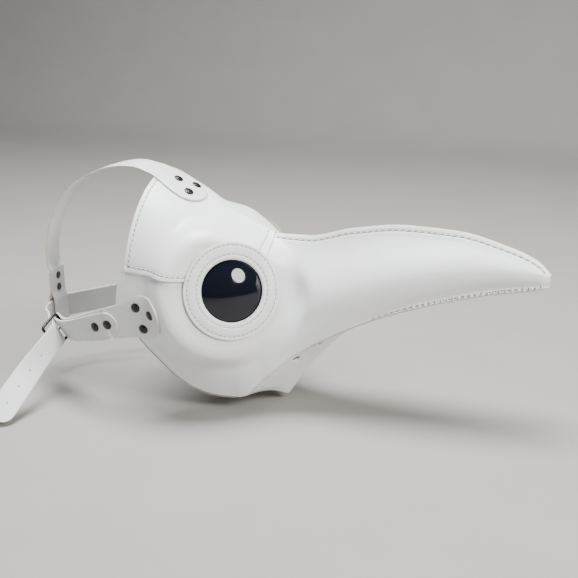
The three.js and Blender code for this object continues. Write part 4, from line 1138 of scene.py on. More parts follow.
def tab_grid():
    """The right side strap: from its paddle back to the buckle, round the bar and forward again."""
    path = tab_path()
    share = np.linspace(0, 1, len(path))
    first = unit([SIDE_FALL, 0, -1])
    wanted = unit(lerp(first[None], HEEL_ACROSS[None], ramp(share, 0, 1)[:, None]))
    length = lengths_along(path)
    flat = (SIDE_PADDLE_X - DRAPE_REAR_X) * SIDE_SLOPE
    inner_half = np.array([side_half(flat + d) for d in length])
    outer_half = np.full(len(path), STRAP_WIDTH / 2)
    opening = lerp(LAYER_HALF, LOOP_RADIUS, ramp(share, 1 - OPEN_LENGTH, 1))[:, None, None]
    inner, _, normal = curve_rows(path, wanted, inner_half)
    outer, _, _ = curve_rows(path, wanted, outer_half)
    outward = -normal[:, None]
    inner = inner - outward * opening
    outer = outer + outward * opening
    rows = cheek_rows(RIGHT) + list(inner[1:])
    face = unit(np.cross(TAB_IN, HEEL_ACROSS))
    offset = widths(STRAP_WIDTH / 2)[:, None] * HEEL_ACROSS
    for angle in np.linspace(0, math.pi, 26)[1:-1]:
        out = -face * math.cos(angle) + TAB_IN * math.sin(angle)
        rows.append(HEEL + out * LOOP_RADIUS + offset)
    rows += list(outer[::-1])
    middle = SECOND_MIDDLE + 2 * LAYER_HALF
    half = STRAP_WIDTH / 2
    flat_run = FLAP_END_X - half - DRAPE_REAR_X
    for behind in round_end(half, 22)[::-1]:
        x = DRAPE_REAR_X + max(flat_run, 0.5) - behind
        rows.append(cheek_row(RIGHT, x, math.sqrt(half ** 2 - behind ** 2), middle))
    return np.array(rows)


def crown_point(x, y, height):
    """Points over the forehead panel at a distance from the middle."""
    x, y = np.broadcast_arrays(np.asarray(x, float), np.asarray(y, float))
    return over_crest(x, station_at_y(x, np.maximum(np.abs(y), GAP)), y, height)


def crown_path():
    """The middle line of the crown strap from the forehead panel to its split."""
    top = _section[0](np.array(0.0)) * MASK_HEIGHT
    back = CROWN_BACK_X + LAYER_HALF
    return spline([
        crown_point(CROWN_LEAVE_X, -CROWN_SET_OVER, THIRD_MIDDLE),
        (14, -0.8 * CROWN_SET_OVER, top - 0.6),
        (-10, -0.5 * CROWN_SET_OVER, top - 4),
        (-36, -0.2 * CROWN_SET_OVER, 0.885 * top),
        (-62, 0, 0.74 * top),
        (-82, 0, 0.52 * top),
        (-95, 0, 0.22 * top),
        (back - 3, 0, -6),
        (back, 0, CROWN_SPLIT_Z),
    ])


def crown_grid():
    """The crown strap: its paddle, its run over the head and its loop."""
    flat = (CROWN_PADDLE_X - CROWN_LEAVE_X) / CROWN_SLOPE
    rows = []
    for behind in round_end(PADDLE_RADIUS, 22) + list(np.linspace(0, flat, 18)):
        x = CROWN_PADDLE_X - CROWN_SLOPE * behind
        rows.append(crown_point(x, widths(crown_half(behind)) - CROWN_SET_OVER, THIRD_MIDDLE))
    path = crown_path()
    total = lengths_along(path)[-1]
    distance = np.linspace(0, total, 110)[1:]
    path = resample(path, distance)
    half = np.array([crown_half(flat + d) for d in distance])
    free, _, _ = curve_rows(path, np.tile([0.0, 1.0, 0.0], (len(path), 1)), half)
    draped = rows[-1] - crown_path()[0] - widths(half[0])[:, None] * np.array([0, 1, 0])
    fade = 1 - ramp(distance, 0, 70)
    free += fade[:, None, None] * draped[None]
    rows += list(free)
    offset = widths(STRAP_WIDTH / 2)[:, None] * np.array([0, 1, 0])
    heights = np.linspace(CROWN_SPLIT_Z - 1.5, CROWN_LOOP_Z, 30)

    def leg(z, sign):
        opening = lerp(CROWN_LOOP, LAYER_HALF, ramp(z, REAR_Z + STRAP_WIDTH / 2, CROWN_LOOP_RIVETS[0] - 2))
        return np.array([CROWN_BACK_X + sign * opening, 0, z]) + offset

    rows += [leg(z, 1) for z in heights]
    for angle in np.linspace(0, math.pi, 22)[1:-1]:
        out = np.array([math.cos(angle), 0, -math.sin(angle)])
        rows.append(np.array([CROWN_BACK_X, 0, CROWN_LOOP_Z]) + out * CROWN_LOOP + offset)
    rows += [leg(z, -1) for z in heights[::-1]]
    return np.array(rows)


def tail_across(length):
    """The direction across the free end, which turns along its length."""
    return unit(lerp(HEEL_ACROSS, TAIL_ACROSS, ramp(length, 0, TAIL_LENGTH)[..., None]))


def tail_spot(length):
    """The middle line of the free end, which sags under its own weight."""
    point = TAIL_START + BUCKLE_WAY * length[..., None]
    point[..., 2] -= TAIL_SAG * (length / TAIL_LENGTH) ** 2
    return point


def rear_path():
    """The middle line of the long strap from the left cheek to the front of the buckle."""
    wide = MASK_WIDTH
    return spline([
        cheek_point(LEFT, DRAPE_REAR_X, SECOND_MIDDLE),
        (-16, 0.45 * wide, side_line_z(-16)),
        (-42, 0.385 * wide, side_line_z(-42)),
        (-66, 0.29 * wide, REAR_Z + 1.5),
        (-85, 0.18 * wide, REAR_Z),
        (CROWN_BACK_X, 15, REAR_Z),
        (CROWN_BACK_X, 0, REAR_Z),
        (CROWN_BACK_X, -15, REAR_Z),
        (-86, -0.185 * wide, REAR_Z),
        buckle_spot(-3, -15),
        buckle_spot(5, -6.5),
        buckle_spot(8, -1),
        buckle_spot(11, 3.6),
        buckle_spot(16, TAIL_RIDE - 0.2),
        TAIL_START,
    ])


def long_strap_grid():
    """The rear strap from the left cheek round the head, through the buckle and out to its end."""
    rows = cheek_rows(LEFT)
    path = rear_path()
    total = lengths_along(path)[-1]
    distance = np.linspace(0, total, 260)[1:]
    path = resample(path, distance)
    share = distance / total
    first, upright = unit([SIDE_FALL, 0, -1]), np.array([0, 0, -1.0])
    wanted = lerp(first, upright, ramp(share, 0, 0.3)[:, None])
    wanted = unit(lerp(wanted, HEEL_ACROSS, ramp(share, 0.62, 0.9)[:, None]))
    flat = (SIDE_PADDLE_X - DRAPE_REAR_X) * SIDE_SLOPE
    half = np.array([side_half(flat + d) for d in distance])
    rows += list(curve_rows(path, wanted, half)[0])
    end = STRAP_WIDTH / 2
    lengths = list(np.linspace(1.2, TAIL_LENGTH - end, 70))
    halves = [end] * len(lengths)
    for behind in round_end(end, 18)[::-1]:
        lengths.append(TAIL_LENGTH - end - behind)
        halves.append(math.sqrt(end ** 2 - behind ** 2))
    lengths = np.array(lengths)
    across = tail_across(lengths)
    shares = np.linspace(-1, 1, STRAP_COLUMNS)[None, :] * np.array(halves)[:, None]
    rows += list(tail_spot(lengths)[:, None] + across[:, None] * shares[..., None])
    return np.array(rows)


# ---------------------------------------------------------------- rivets


def paddle_rivets(side):
    """Place, axis and stack of the rivets through a cheek."""
    forward = np.array([1, 0, SIDE_FALL]) / SIDE_SLOPE
    for along, across in SIDE_RIVETS:
        x = SIDE_PADDLE_X + along * forward[0] - across * forward[2]
        z = SIDE_PADDLE_Z + along * forward[2] + across * forward[0]
        station = station_at_z(x, z)
        yield skin(side, x, station, 0), skin_normal(side, x, station), OVER


def crown_rivets():
    """Place, axis and stack of the rivets through the forehead."""
    for along, across in CROWN_RIVETS:
        x, y = CROWN_PADDLE_X + along, across - CROWN_SET_OVER
        origin = crown_point(x, y, UNDER)
        yield origin, unit(crown_point(x, y, UNDER + 1) - origin), TWO_LAYERS


def flap_rivets():
    """Place, axis and stack of the rivets that close the fold round the buckle."""
    path = tab_path()
    first = unit([SIDE_FALL, 0, -1])
    for x in FLAP_RIVETS:
        if x > DRAPE_REAR_X:
            station = station_at_z(x, side_line_z(x))
            yield skin(RIGHT, x, station, UNDER), skin_normal(RIGHT, x, station), TWO_LAYERS
            continue
        share = np.linspace(0, 1, len(path))
        wanted = unit(lerp(first[None], HEEL_ACROSS[None], ramp(share, 0, 1)[:, None]))
        _, _, normal = curve_rows(path, wanted, np.ones(len(path)))
        i = int(np.argmin(np.abs(path[:, 0] - x)))
        out = -normal[i]
        opening = lerp(LAYER_HALF, LOOP_RADIUS, ramp(share[i], 1 - OPEN_LENGTH, 1))
        yield path[i] - out * (opening + LEATHER / 2), out, TWO_LAYERS


def loop_rivets():
    """Place, axis and stack of the rivets that close the crown strap's loop."""
    for z in CROWN_LOOP_RIVETS:
        origin = np.array([CROWN_BACK_X + LAYER_HALF + LEATHER / 2, 0, z])
        yield origin, np.array([-1.0, 0, 0]), TWO_LAYERS


def rivet(name, origin, axis, stack):
    """A domed rivet head on its shank, with the flat washer of its back."""
    r, h = RIVET_RADIUS, RIVET_HEIGHT
    seat, under = stack + 0.02, -0.02
    ball = (r * r + (h - RIVET_EDGE) ** 2) / (2 * (h - RIVET_EDGE))
    dome = []
    for i in range(14):
        angle = math.asin(0.985 * r / ball) * (1 - i / 13)
        height = seat + RIVET_EDGE + ball * math.cos(angle) - ball + h - RIVET_EDGE
        dome.append((max(ball * math.sin(angle), 0.0), height))
    dome[-1] = (0.0, dome[-1][1])
    profile = [
        (0.0, under - RIVET_BACK_HEIGHT),
        (RIVET_BACK - 0.5, under - RIVET_BACK_HEIGHT),
        (RIVET_BACK - 0.1, under - 0.6 * RIVET_BACK_HEIGHT),
        (RIVET_BACK, under),
        (RIVET_SHANK, under),
        (RIVET_SHANK, seat),
        (r - 0.15, seat),
        (r, seat + 0.12),
        (r, seat + 0.32),
        *dome,
    ]
    obj = turned(name, profile, origin, axis, 40)
    dress(obj, "metal")
    return smooth(obj, 40)


# ---------------------------------------------------------------- stitching


def stitch_shape():
    """One stitch: a short length of thread, one unit long, whose ends dive into the leather."""
    start_clean()
    bpy.ops.mesh.primitive_uv_sphere_add(segments=6, ring_count=7, radius=0.5)
    obj = bpy.context.object
    points = get_points(obj)[:, [2, 0, 1]]
    faces = [tuple(p.vertices) for p in obj.data.polygons]
    bpy.data.objects.remove(obj)
    swell = np.clip(1 - np.abs(points[:, 0] * 2) ** 4, 0, 1)[:, None] ** 0.25
    flat = unit(points * np.array([0, 1, 1]) + 1e-9) * 0.5 * swell
    flat[:, 0] = points[:, 0]
    return flat, faces


def threads(name, chunks, finishes, choices=None):
    """Joins many small closed shapes, each a list of points and faces, in one piece."""
    points, polygons, start = [], [], 0
    for spots, faces in chunks:
        points.append(spots)
        polygons += [tuple(v + start for v in face) for face in faces]
        start += len(spots)
    mesh = bpy.data.meshes.new(name)
    mesh.from_pydata((np.concatenate(points) * MM).tolist(), [], polygons)
    obj = bpy.data.objects.new(name, mesh)
    bpy.context.scene.collection.objects.link(obj)
    dress(obj, *finishes)
    if choices is not None:
        mesh.polygons.foreach_set("material_index", choices)
    pick(obj)
    bpy.ops.object.mode_set(mode="EDIT")
    bpy.ops.mesh.select_all(action="SELECT")
    bpy.ops.mesh.normals_make_consistent(inside=False)
    bpy.ops.object.mode_set(mode="OBJECT")
    bpy.ops.object.shade_smooth()
    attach(obj, "mask")
    return obj


# One whip stitch in section: how far out from the edge, and how far through the layers.
WHIP = [(-3.1, 1.62), (-2.3, 2.18), (-0.5, 2.34), (0.62, 1.55), (0.95, 0.0), (0.62, -1.55), (-0.5, -2.34),
        (-2.3, -2.18), (-3.1, -1.62)]


def whip(name, path, out, face, pitch, radius=0.62, spread=0.0):
    """Whip stitches wound over the edge of two layers. out points away from the seam, face through
    the layers, and spread is how much the layers part below the edge."""
    along, count, pitch = even_pitch(path, pitch)
    corners = 6
    turn = np.linspace(0, 2 * math.pi, corners, endpoint=False)
    chunks = []
    for i in range(count):
        centre_at = (i + 0.5) * pitch
        ends = resample(path, np.array([centre_at - 0.5, centre_at, centre_at + 0.5]))
        tangent = unit(ends[2] - ends[0])
        away = at_distance(along, out, centre_at)
        away = unit(away - tangent * (away @ tangent))
        through = at_distance(along, face, centre_at)
        through = unit(through - tangent * (through @ tangent) - away * (through @ away))
        line = np.array([
            ends[1] + away * o + through * (f + np.sign(f) * spread * max(-o, 0))
            + tangent * WHIP_SLANT * (k / (len(WHIP) - 1) - 0.5)
            for k, (o, f) in enumerate(WHIP)])
        way = unit(np.gradient(line, axis=0))
        side = unit(tangent - way * (way @ tangent)[:, None])
        other = np.cross(way, side)
        size = radius * np.array([0.55] + [1.0] * (len(WHIP) - 2) + [0.55])[:, None, None]
        ring = (side[:, None] * np.cos(turn)[None, :, None] * 1.25
                + other[:, None] * np.sin(turn)[None, :, None])
        spots = (line[:, None] + ring * size).reshape(-1, 3)
        faces = [tuple(range(corners)), tuple(range(corners * (len(WHIP) - 1), corners * len(WHIP)))]
        for k in range(len(WHIP) - 1):
            for j in range(corners):
                a, b = k * corners + j, k * corners + (j + 1) % corners
                faces.append((a, b, b + corners, a + corners))
        chunks.append((spots, faces))
    return threads(name, chunks, ("thread",))


def sew(name, path, normal, pitch, length=0.70):
    """A row of stitches along a path on the leather, with a flat dark bead between each pair: painted shade
    for the needle's hole.
    All of them are one piece. length is the share of the pitch that one stitch takes."""
    wide = bpy.context.scene.mask_thread.thickness / MM
    along, count, pitch = even_pitch(path, pitch)
    shape, faces = stitch_shape()
    chunks = []
    for i in range(2 * count + 1):
        centre_at = 0.5 * i * pitch
        ends = resample(path, np.clip([centre_at - 0.4, centre_at, centre_at + 0.4], 0, along[-1]))
        tangent = unit(ends[2] - ends[0])
        up = at_distance(along, normal, centre_at)
        up = unit(up - tangent * (up @ tangent))
        tangent = unit(tangent + np.cross(up, tangent) * STITCH_LEAN)
        side = np.cross(up, tangent)
        if i % 2:
            local = shape * np.array([length * pitch, wide, wide])
            dive = (np.abs(shape[:, 0] * 2) ** 2.6) * 0.62 * wide
            height = local[:, 2] + 0.12 * wide - dive
        else:
            # The even beads are the needle holes: flat and dark, painted shade for the dimple.
            local = shape * np.array([(1.25 - length) * pitch, 1.15 * wide, 0.5 * wide])
            height = local[:, 2] - 0.02 * wide
        where = ends[1] + tangent * local[:, :1] + side * local[:, 1:2] + up * height[:, None]
        chunks.append((where, faces))
    choices = [1 - i % 2 for i in range(2 * count + 1) for _ in faces]
    return threads(name, chunks, ("thread", "hole"), choices)


def forehead_line(along, across, height=OVER - 0.1):
    """A line on the forehead panel, with its outward directions."""
    x, station = forehead_places(along, across)
    right = skin(RIGHT, x, station, height)
    normal = skin_normal(RIGHT, x, station)
    left = (across >= 0)[:, None]
    return np.where(left, to_side(right, LEFT), right), np.where(left, to_side(normal, LEFT), normal)


def outside_ring(points, normals, side, clear):
    """Leaves out the part of a line that the eye ring covers."""
    eye, axis = to_side(EYE, side), to_side(EYE_AXIS, side)
    offset = points - eye
    away = np.linalg.norm(offset - (offset @ axis)[:, None] * axis, axis=1)
    free = away > LENS_RADIUS + RING_WIDTH + clear
    return points[free], normals[free]


def ring_height(radius, angle_share):
    """Height of the eye ring's face: it dips to the cheek beyond the forehead panel's edge."""
    outer = LENS_RADIUS + RING_WIDTH + GAP
    dip = 1.35 * (1 - angle_share) * ramp(radius, LENS_RADIUS + 6, outer)
    rows = sum(mound(radius - row, RING_GROOVE_HALF) for row in RING_STITCHES)
    crown = 0.22 * np.sin(math.pi * np.clip((radius - LENS_RADIUS) / (outer - LENS_RADIUS), 0, 1))
    return RING_TOP - dip + crown - 0.75 * GROOVE_DEPTH * rows


def eye_spot(angle, radius, height):
    """Points round the right eye: turn and distance round its axis, and height along it."""
    u, v, w = turned_frame(EYE_AXIS)
    flat = EYE + u * (radius * np.cos(angle))[..., None] + v * (radius * np.sin(angle))[..., None]
    return flat + w * height[..., None]


def ring_shares(angle, radius):
    """1 where the ring lies on the forehead panel, and 0 where it lies on the cheek."""
    spot = eye_spot(angle, radius, np.zeros_like(radius))
    above = spot[..., 2] - seam_z(spot[..., 0])
    behind = FRONT_SEAM_X - spot[..., 0]
    return ramp(above, -4, 5) * ramp(behind, -5, 4)


# ---------------------------------------------------------------- operators


class MASK_OT_side_panels(bpy.types.Operator):
    """Make the two leather halves of the cheeks and beak"""
    bl_idname = "mask.side_panels"
    bl_label = "Side Panels"

    def execute(self, context):
        for side in (RIGHT, LEFT):
            name = f"side_panel_{SIDE_NAMES[side]}"
            grid = side_panel_grid(side)
            obj = thicken(sheet(name + "_leather", grid, np.array([0.2, side, 0.2])))
            seat = LENS_RADIUS + LENS_FLANGE + GAP
            bore(obj, [punch(to_side(EYE, side), to_side(EYE_AXIS, side), seat, -9, 9, 72)])
            smooth(obj, 38)
            keep(obj, "mask", "white_leather", name)
        return {"FINISHED"}


class MASK_OT_forehead_panel(bpy.types.Operator):
    """Make the panel over the forehead"""
    bl_idname = "mask.forehead_panel"
    bl_label = "Forehead Panel"

    def execute(self, context):
        obj = thicken(sheet("forehead_panel_leather", forehead_grid(), np.array([0, 0, 1])))
        scoop = LENS_RADIUS + LENS_FLANGE + GAP + 4
        bore(obj, [punch(to_side(EYE, side), to_side(EYE_AXIS, side), scoop, -12, 14, 72)
                   for side in (RIGHT, LEFT)])
        smooth(obj, 38)
        keep(obj, "mask", "white_leather", "forehead_panel")
        return {"FINISHED"}


class MASK_OT_eye_rings(bpy.types.Operator):
    """Make the leather rings round the lenses and the washers behind them"""
    bl_idname = "mask.eye_rings"
    bl_label = "Eye Rings"

    def execute(self, context):
        inner, outer = LENS_RADIUS + 0.12, LENS_RADIUS + RING_WIDTH + GAP
        for side in (RIGHT, LEFT):
            name = f"eye_ring_{SIDE_NAMES[side]}"
            angle = np.linspace(0, 2 * math.pi, 241)
            face = inner + 0.15 + (outer - inner - 0.3) * np.linspace(0, 1, 64)
            radius = np.concatenate([[inner], face, [outer]])
            a, r = np.meshgrid(angle, radius, indexing="ij")
            share = ring_shares(a, r)
            height = ring_height(r, share)
            height -= 0.9 * mound(r - inner, 0.8)
            height -= 0.25 * mound(outer - r, 0.5)
            grid = eye_spot(a, r, height)
            obj = sheet(name + "_leather", to_side(grid, side), to_side(EYE_AXIS, side))
            bpy.ops.object.mode_set(mode="EDIT")
            bpy.ops.mesh.select_all(action="SELECT")
            bpy.ops.mesh.remove_doubles(threshold=0.00001)
            bpy.ops.object.mode_set(mode="OBJECT")
            # The ring's cut edges are darkened: painted shadow for the dark line under its outer edge.
            thicken(obj, 1.9, finishes=("face", "painted shadow edge", "flesh"))
            keep(obj, "mask", "white_leather", name)
            backing = f"eye_backing_{SIDE_NAMES[side]}"
            profile = round_section([
                (BACKING_INNER, -GAP - BACKING_THICK), (BACKING_OUTER, -GAP - BACKING_THICK),
                (BACKING_OUTER, -GAP), (BACKING_INNER, -GAP)], 0.35)
            washer = turned(backing + "_washer", profile, to_side(EYE, side), to_side(EYE_AXIS, side), 96)
            dress(washer, "flesh")
            smooth(washer, 40)
            keep(washer, "mask", "lining_leather", backing)
        return {"FINISHED"}


class MASK_OT_lenses(bpy.types.Operator):
    """Make the domed smoked lenses"""
    bl_idname = "mask.lenses"
    bl_label = "Lenses"

    def execute(self, context):
        shoulder = LEATHER + LENS_COLLAR

        def cap(radius, base, rise, count):
            ball = (radius ** 2 + rise ** 2) / (2 * rise)
            reach = math.asin(radius / ball)
            out = []
            for i in range(count + 1):
                angle = reach * (1 - i / count)
                height = base + ball * math.cos(angle) - ball + rise
                out.append((ball * math.sin(angle) if i < count else 0.0, height))
            return out

        hollow = LENS_RADIUS - LENS_WALL
        profile = [
            (LENS_RADIUS + LENS_FLANGE, 0.1),
            (LENS_RADIUS + LENS_FLANGE, LEATHER - 0.1),
            (LENS_RADIUS, LEATHER),
            *cap(LENS_RADIUS, shoulder, LENS_DOME, 26),
            *cap(hollow, shoulder - LENS_WALL / 3, LENS_DOME - LENS_WALL, 18)[::-1],
            (hollow, 0.1),
        ]
        for side in (RIGHT, LEFT):
            name = f"lens_{SIDE_NAMES[side]}"
            obj = turned(name + "_dome", profile, to_side(EYE, side), to_side(EYE_AXIS, side), 128)
            dress(obj, "lens")
            smooth(obj, 35)
            keep(obj, "mask", "smoked_lens", name)
        return {"FINISHED"}


class MASK_OT_beak_gusset(bpy.types.Operator):
    """Make the folded gusset under the beak with its punched vents"""
    bl_idname = "mask.beak_gusset"
    bl_label = "Beak Gusset"

    def execute(self, context):
        grid = gusset_grid()
        obj = sheet("beak_gusset_leather", grid, np.array([0, 0, -1]))
        for i in range(VENT_COUNT):
            along = np.array(VENT_FIRST + i * VENT_STEP)
            across = np.array(VENT_ACROSS)
            step = 0.01
            centre = gusset_point(along, across)
            forward = gusset_point(along + step, across) - gusset_point(along - step, across)
            outward = gusset_point(along, across + step) - gusset_point(along, across - step)
            normal = unit(np.cross(forward, outward))
            for side in (RIGHT, LEFT):
                self.vent(obj, to_side(centre, side) * MM, to_side(normal, side))
        thicken(obj, offset=1.0, even=False)
        keep(obj, "mask", "white_leather", "beak_gusset")
        return {"FINISHED"}

    def vent(self, obj, centre, normal):
        """Opens a round hole in the sheet: the nearest points are moved on to its rim."""
        radius = VENT_RADIUS * MM
        points = get_points(obj)
        offset = points - centre
        height = offset @ normal
        flat = offset - height[:, None] * normal
        away = np.linalg.norm(flat, axis=1)
        close = np.abs(height) < 0.012
        rim = close & (away > 0.7 * radius) & (away < 1.22 * radius)
        points[rim] = centre + flat[rim] / away[rim, None] * radius + height[rim, None] * normal
        set_points(obj, points)
        pick(obj)
        bpy.ops.object.mode_set(mode="EDIT")
        bpy.ops.mesh.select_all(action="DESELECT")
        bpy.ops.object.mode_set(mode="OBJECT")
        obj.data.vertices.foreach_set("select", close & (away <= 0.7 * radius))
        bpy.ops.object.mode_set(mode="EDIT")
        bpy.ops.mesh.select_mode(type="VERT")
        bpy.ops.mesh.delete(type="VERT")
        bpy.ops.object.mode_set(mode="OBJECT")


def facing(grid, row):
    """The direction in which a strap's grid faces at the middle of a row."""
    middle = STRAP_COLUMNS // 2
    here = grid[row, middle]
    return np.cross(grid[row, middle + 1] - here, grid[row + 1, middle] - here)


def strap_leather(name, grid, row, outward):
    """A strap whose finished side looks outward at one row, and is the same side all along."""
    sense = 1 if facing(grid, row) @ outward > 0 else -1
    obj = sheet(name, grid, sense * facing(grid, len(grid) // 2))
    # The back side takes the darker copy of the strap leather, which is painted shade.
    return thicken(obj, offset=0.0, finishes=("strap", "edge", "strap back painted shade"))


class MASK_OT_buckle_tab(bpy.types.Operator):
    """Make the right side strap that folds round the buckle"""
    bl_idname = "mask.buckle_tab"
    bl_label = "Buckle Tab"

    def execute(self, context):
        obj = strap_leather("buckle_tab_leather", tab_grid(), 20, np.array([0, -1, 0]))
        keep(obj, "mask", "white_leather", "buckle_tab")
        return {"FINISHED"}


class MASK_OT_crown_strap(bpy.types.Operator):
    """Make the strap over the crown of the head"""
    bl_idname = "mask.crown_strap"
    bl_label = "Crown Strap"

    def execute(self, context):
        obj = strap_leather("crown_strap_leather", crown_grid(), 30, np.array([0, 0, 1]))
        keep(obj, "mask", "white_leather", "crown_strap")
        return {"FINISHED"}


class MASK_OT_long_strap(bpy.types.Operator):
    """Make the strap round the back of the head, with its free end"""
    bl_idname = "mask.long_strap"
    bl_label = "Long Strap"

    def execute(self, context):
        obj = strap_leather("rear_strap_leather", long_strap_grid(), 30, np.array([0, 1, 0]))
        tools = []
        for i in range(HOLE_COUNT):
            length = np.array(HOLE_FIRST + i * HOLE_PITCH)
            face = np.cross(BUCKLE_WAY, tail_across(length))
            tools.append(punch(tail_spot(length), face, HOLE_RADIUS, -4, 4, 20))
        bore(obj, tools)
        smooth(obj, 38)
        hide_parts("rear_strap", "strap_tail")
        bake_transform(obj)
        return {"FINISHED"}


class MASK_OT_rivets(bpy.types.Operator):
    """Make every rivet of the harness"""
    bl_idname = "mask.rivets"
    bl_label = "Rivets"

    def execute(self, context):
        groups = {
            "cheek_rivet_right": paddle_rivets(RIGHT),
            "cheek_rivet_left": paddle_rivets(LEFT),
            "crown_rivet": crown_rivets(),
            "flap_rivet": flap_rivets(),
            "crown_loop_rivet": loop_rivets(),
        }
        for name, spots in groups.items():
            for i, (origin, axis, stack) in enumerate(spots, 1):
                head = rivet(f"{name}_{i}_domed", origin, axis, stack)
                keep(head, "mask", "blackened_metal", f"{name}_{i}")
        return {"FINISHED"}


def rod(name, path, radius, sides=20):
    """A round rod along a path of points in millimetres."""
    curve = bpy.data.curves.new(name, "CURVE")
    curve.dimensions = "3D"
    curve.bevel_depth = radius * MM
    curve.bevel_resolution = sides // 4
    curve.use_fill_caps = True
    line = curve.splines.new("POLY")
    closed = np.allclose(path[0], path[-1])
    path = path[:-1] if closed else path
    line.points.add(len(path) - 1)
    for target, point in zip(line.points, path):
        target.co = (*(point * MM), 1)
    line.use_cyclic_u = closed
    obj = bpy.data.objects.new(name, curve)
    bpy.context.scene.collection.objects.link(obj)
    pick(obj)
    bpy.ops.object.convert(target="MESH")
    return bpy.context.object


class MASK_OT_buckle(bpy.types.Operator):
    """Make the buckle's frame and prong"""
    bl_idname = "mask.buckle"
    bl_label = "Buckle"

    def execute(self, context):
        half = STRAP_WIDTH / 2 + BUCKLE_SIDE_GAP + WIRE_RADIUS
        corners = [(-half, 0), (half, 0), (half, BUCKLE_REACH), (-half, BUCKLE_REACH)]
        outline = round_section(corners, 3.0, 9)
        path = np.array([HEEL + HEEL_ACROSS * a + BUCKLE_WAY * w for a, w in outline + outline[:1]])
        wire = rod("buckle_frame_wire", path, WIRE_RADIUS)
        dress(wire, "metal")
        smooth(wire, 60)
        keep(wire, "buckle", "blackened_metal", "buckle_frame")

        inner = WIRE_RADIUS + 0.12
        profile = round_section([(inner, -PRONG_WIDTH / 2), (inner + 1.2, -PRONG_WIDTH / 2),
                                 (inner + 1.2, PRONG_WIDTH / 2), (inner, PRONG_WIDTH / 2)], 0.3)
        eye = turned("buckle_prong_eye", profile, HEEL, HEEL_ACROSS, 40)
        rest = WIRE_RADIUS + PRONG_RADIUS + 0.06
        line = []
        for t in np.linspace(0, 1, 24):
            height = rest - 0.5 * (1 - t) ** 3 - 0.35 * ramp(t, 0.9, 1)
            line.append(buckle_spot(1.6 + t * (BUCKLE_REACH - 0.4), height))
        shaft = rod("buckle_prong_shaft", np.array(line), PRONG_RADIUS, 16)
        pick(eye)
        shaft.select_set(True)
        bpy.ops.object.join()
        eye.name = "buckle_prong_pin"
        dress(eye, "metal")
        smooth(eye, 45)
        keep(eye, "prong", "blackened_metal", "buckle_prong")
        return {"FINISHED"}


class MASK_OT_stitching(bpy.types.Operator):
    """Sew every seam"""
    bl_idname = "mask.stitching"
    bl_label = "Stitching"

    def execute(self, context):
        across = np.linspace(-0.965, 0.965, 260)
        span = FRONT_SEAM_X - FOREHEAD_REAR_X - FOREHEAD_PEAK * (1 - across ** 2)
        sew("stitches_forehead_rear", *forehead_line(4 / span, across), 5.0)
        for side in (RIGHT, LEFT):
            name = SIDE_NAMES[side]
            self.lap_seam(side, name)
            self.ridge(side, name)
            self.under_seam(side, name)
            self.ring(side, name)
        self.tip()
        return {"FINISHED"}

    def lap_seam(self, side, name):
        along = np.linspace(0.045, 0.9, 200)
        line, normal = outside_ring(*forehead_line(along, np.full(200, 0.962 * side)), side, 1.5)
        rear = line[:, 0] < EYE_X
        sew(f"stitches_lap_{name}", line[rear], normal[rear], 5.0)
        across = side * np.linspace(0.03, 0.9, 160)
        length = FRONT_SEAM_X - FOREHEAD_REAR_X - FOREHEAD_PEAK * (1 - across ** 2)
        line, normal = outside_ring(*forehead_line(1 - 7 / length, across), side, 1.5)
        sew(f"stitches_front_{name}", line, normal, 4.2)

    def ridge(self, side, name):
        x, station, distance = panel_places()
        rows = [np.interp(FIN_STITCH * min(1, d[-1] / 16), d, s) for d, s in zip(distance, station)]
        columns = (x[:, 0] > FRONT_SEAM_X + 3) & (x[:, 0] < BEAK_TIP_X - 5)
        x, station = x[columns, 0], np.array(rows)[columns]
        line = skin(side, x, station, LEATHER - 0.1)
        sew(f"stitches_ridge_{name}", line, skin_normal(side, x, station), 6.2, length=0.62)

    def under_seam(self, side, name):
        x = np.linspace(ROPE_START_X - 30, BEAK_TIP_X - 12, 240)
        top = lip_line(side, x, 0.0, 0.76)
        inner = lip_line(side, x, LEATHER, 0.76)
        sew(f"stitches_under_{name}", top, unit(top - inner), 6.0, length=0.66)
        low = lip_line(side, x, 2 * LEATHER + SEAM_SLACK, 0.76)
        sew(f"stitches_under_back_{name}", low, unit(inner - top), 6.0, length=0.66)
        x = np.linspace(ROPE_START_X, BEAK_TIP_X - 4, 200)
        edge = lip_line(side, x, LEATHER, 1.0)
        back = lip_line(side, x, LEATHER, 0.9)
        face = lip_line(side, x, 0.0, 1.0)
        whip(f"binding_{name}", edge, unit(edge - back), unit(face - edge), 5.2)

    def tip(self):
        x = np.linspace(RIDGE_BOUND_X, BEAK_TIP_X - 1.5, 120)
        line = crest(x, 0.9)
        ahead = np.gradient(line, axis=0)
        up = unit(np.cross(np.cross(ahead, [0, 1, 0]), ahead) * -1)
        up = np.where(up[:, 2:] < 0, -up, up)
        across = np.tile([0.0, 1.0, 0.0], (len(x), 1))
        whip("binding_ridge", line, up, across, 5.2, radius=0.6, spread=0.58)
        low = right_skin(np.array(BEAK_TIP_X), np.array(0.9)) * np.array([1, 0, 1])
        high = line[-1]
        share = np.linspace(0, 1, 20)[:, None]
        front = lerp(high, low, share) + np.array([1.0, 0, 0]) * (0.9 * np.sin(math.pi * share))
        forward = np.tile([1.0, 0.0, 0.0], (20, 1))
        whip("binding_tip", front, forward, np.tile([0.0, 1.0, 0.0], (20, 1)), 4.4, radius=0.6, spread=0.35)

    def ring(self, side, name):
        angle = np.linspace(0, 2 * math.pi, 400)
        normal = np.tile(unit(EYE_AXIS), (len(angle), 1))
        for row, distance in zip(("inner", "outer"), RING_STITCHES):
            radius = np.full_like(angle, distance)
            height = ring_height(radius, ring_shares(angle, radius)) - 0.05
            line = eye_spot(angle, radius, height)
            sew(f"stitches_ring_{row}_{name}", to_side(line, side), to_side(normal, side), 4.5)


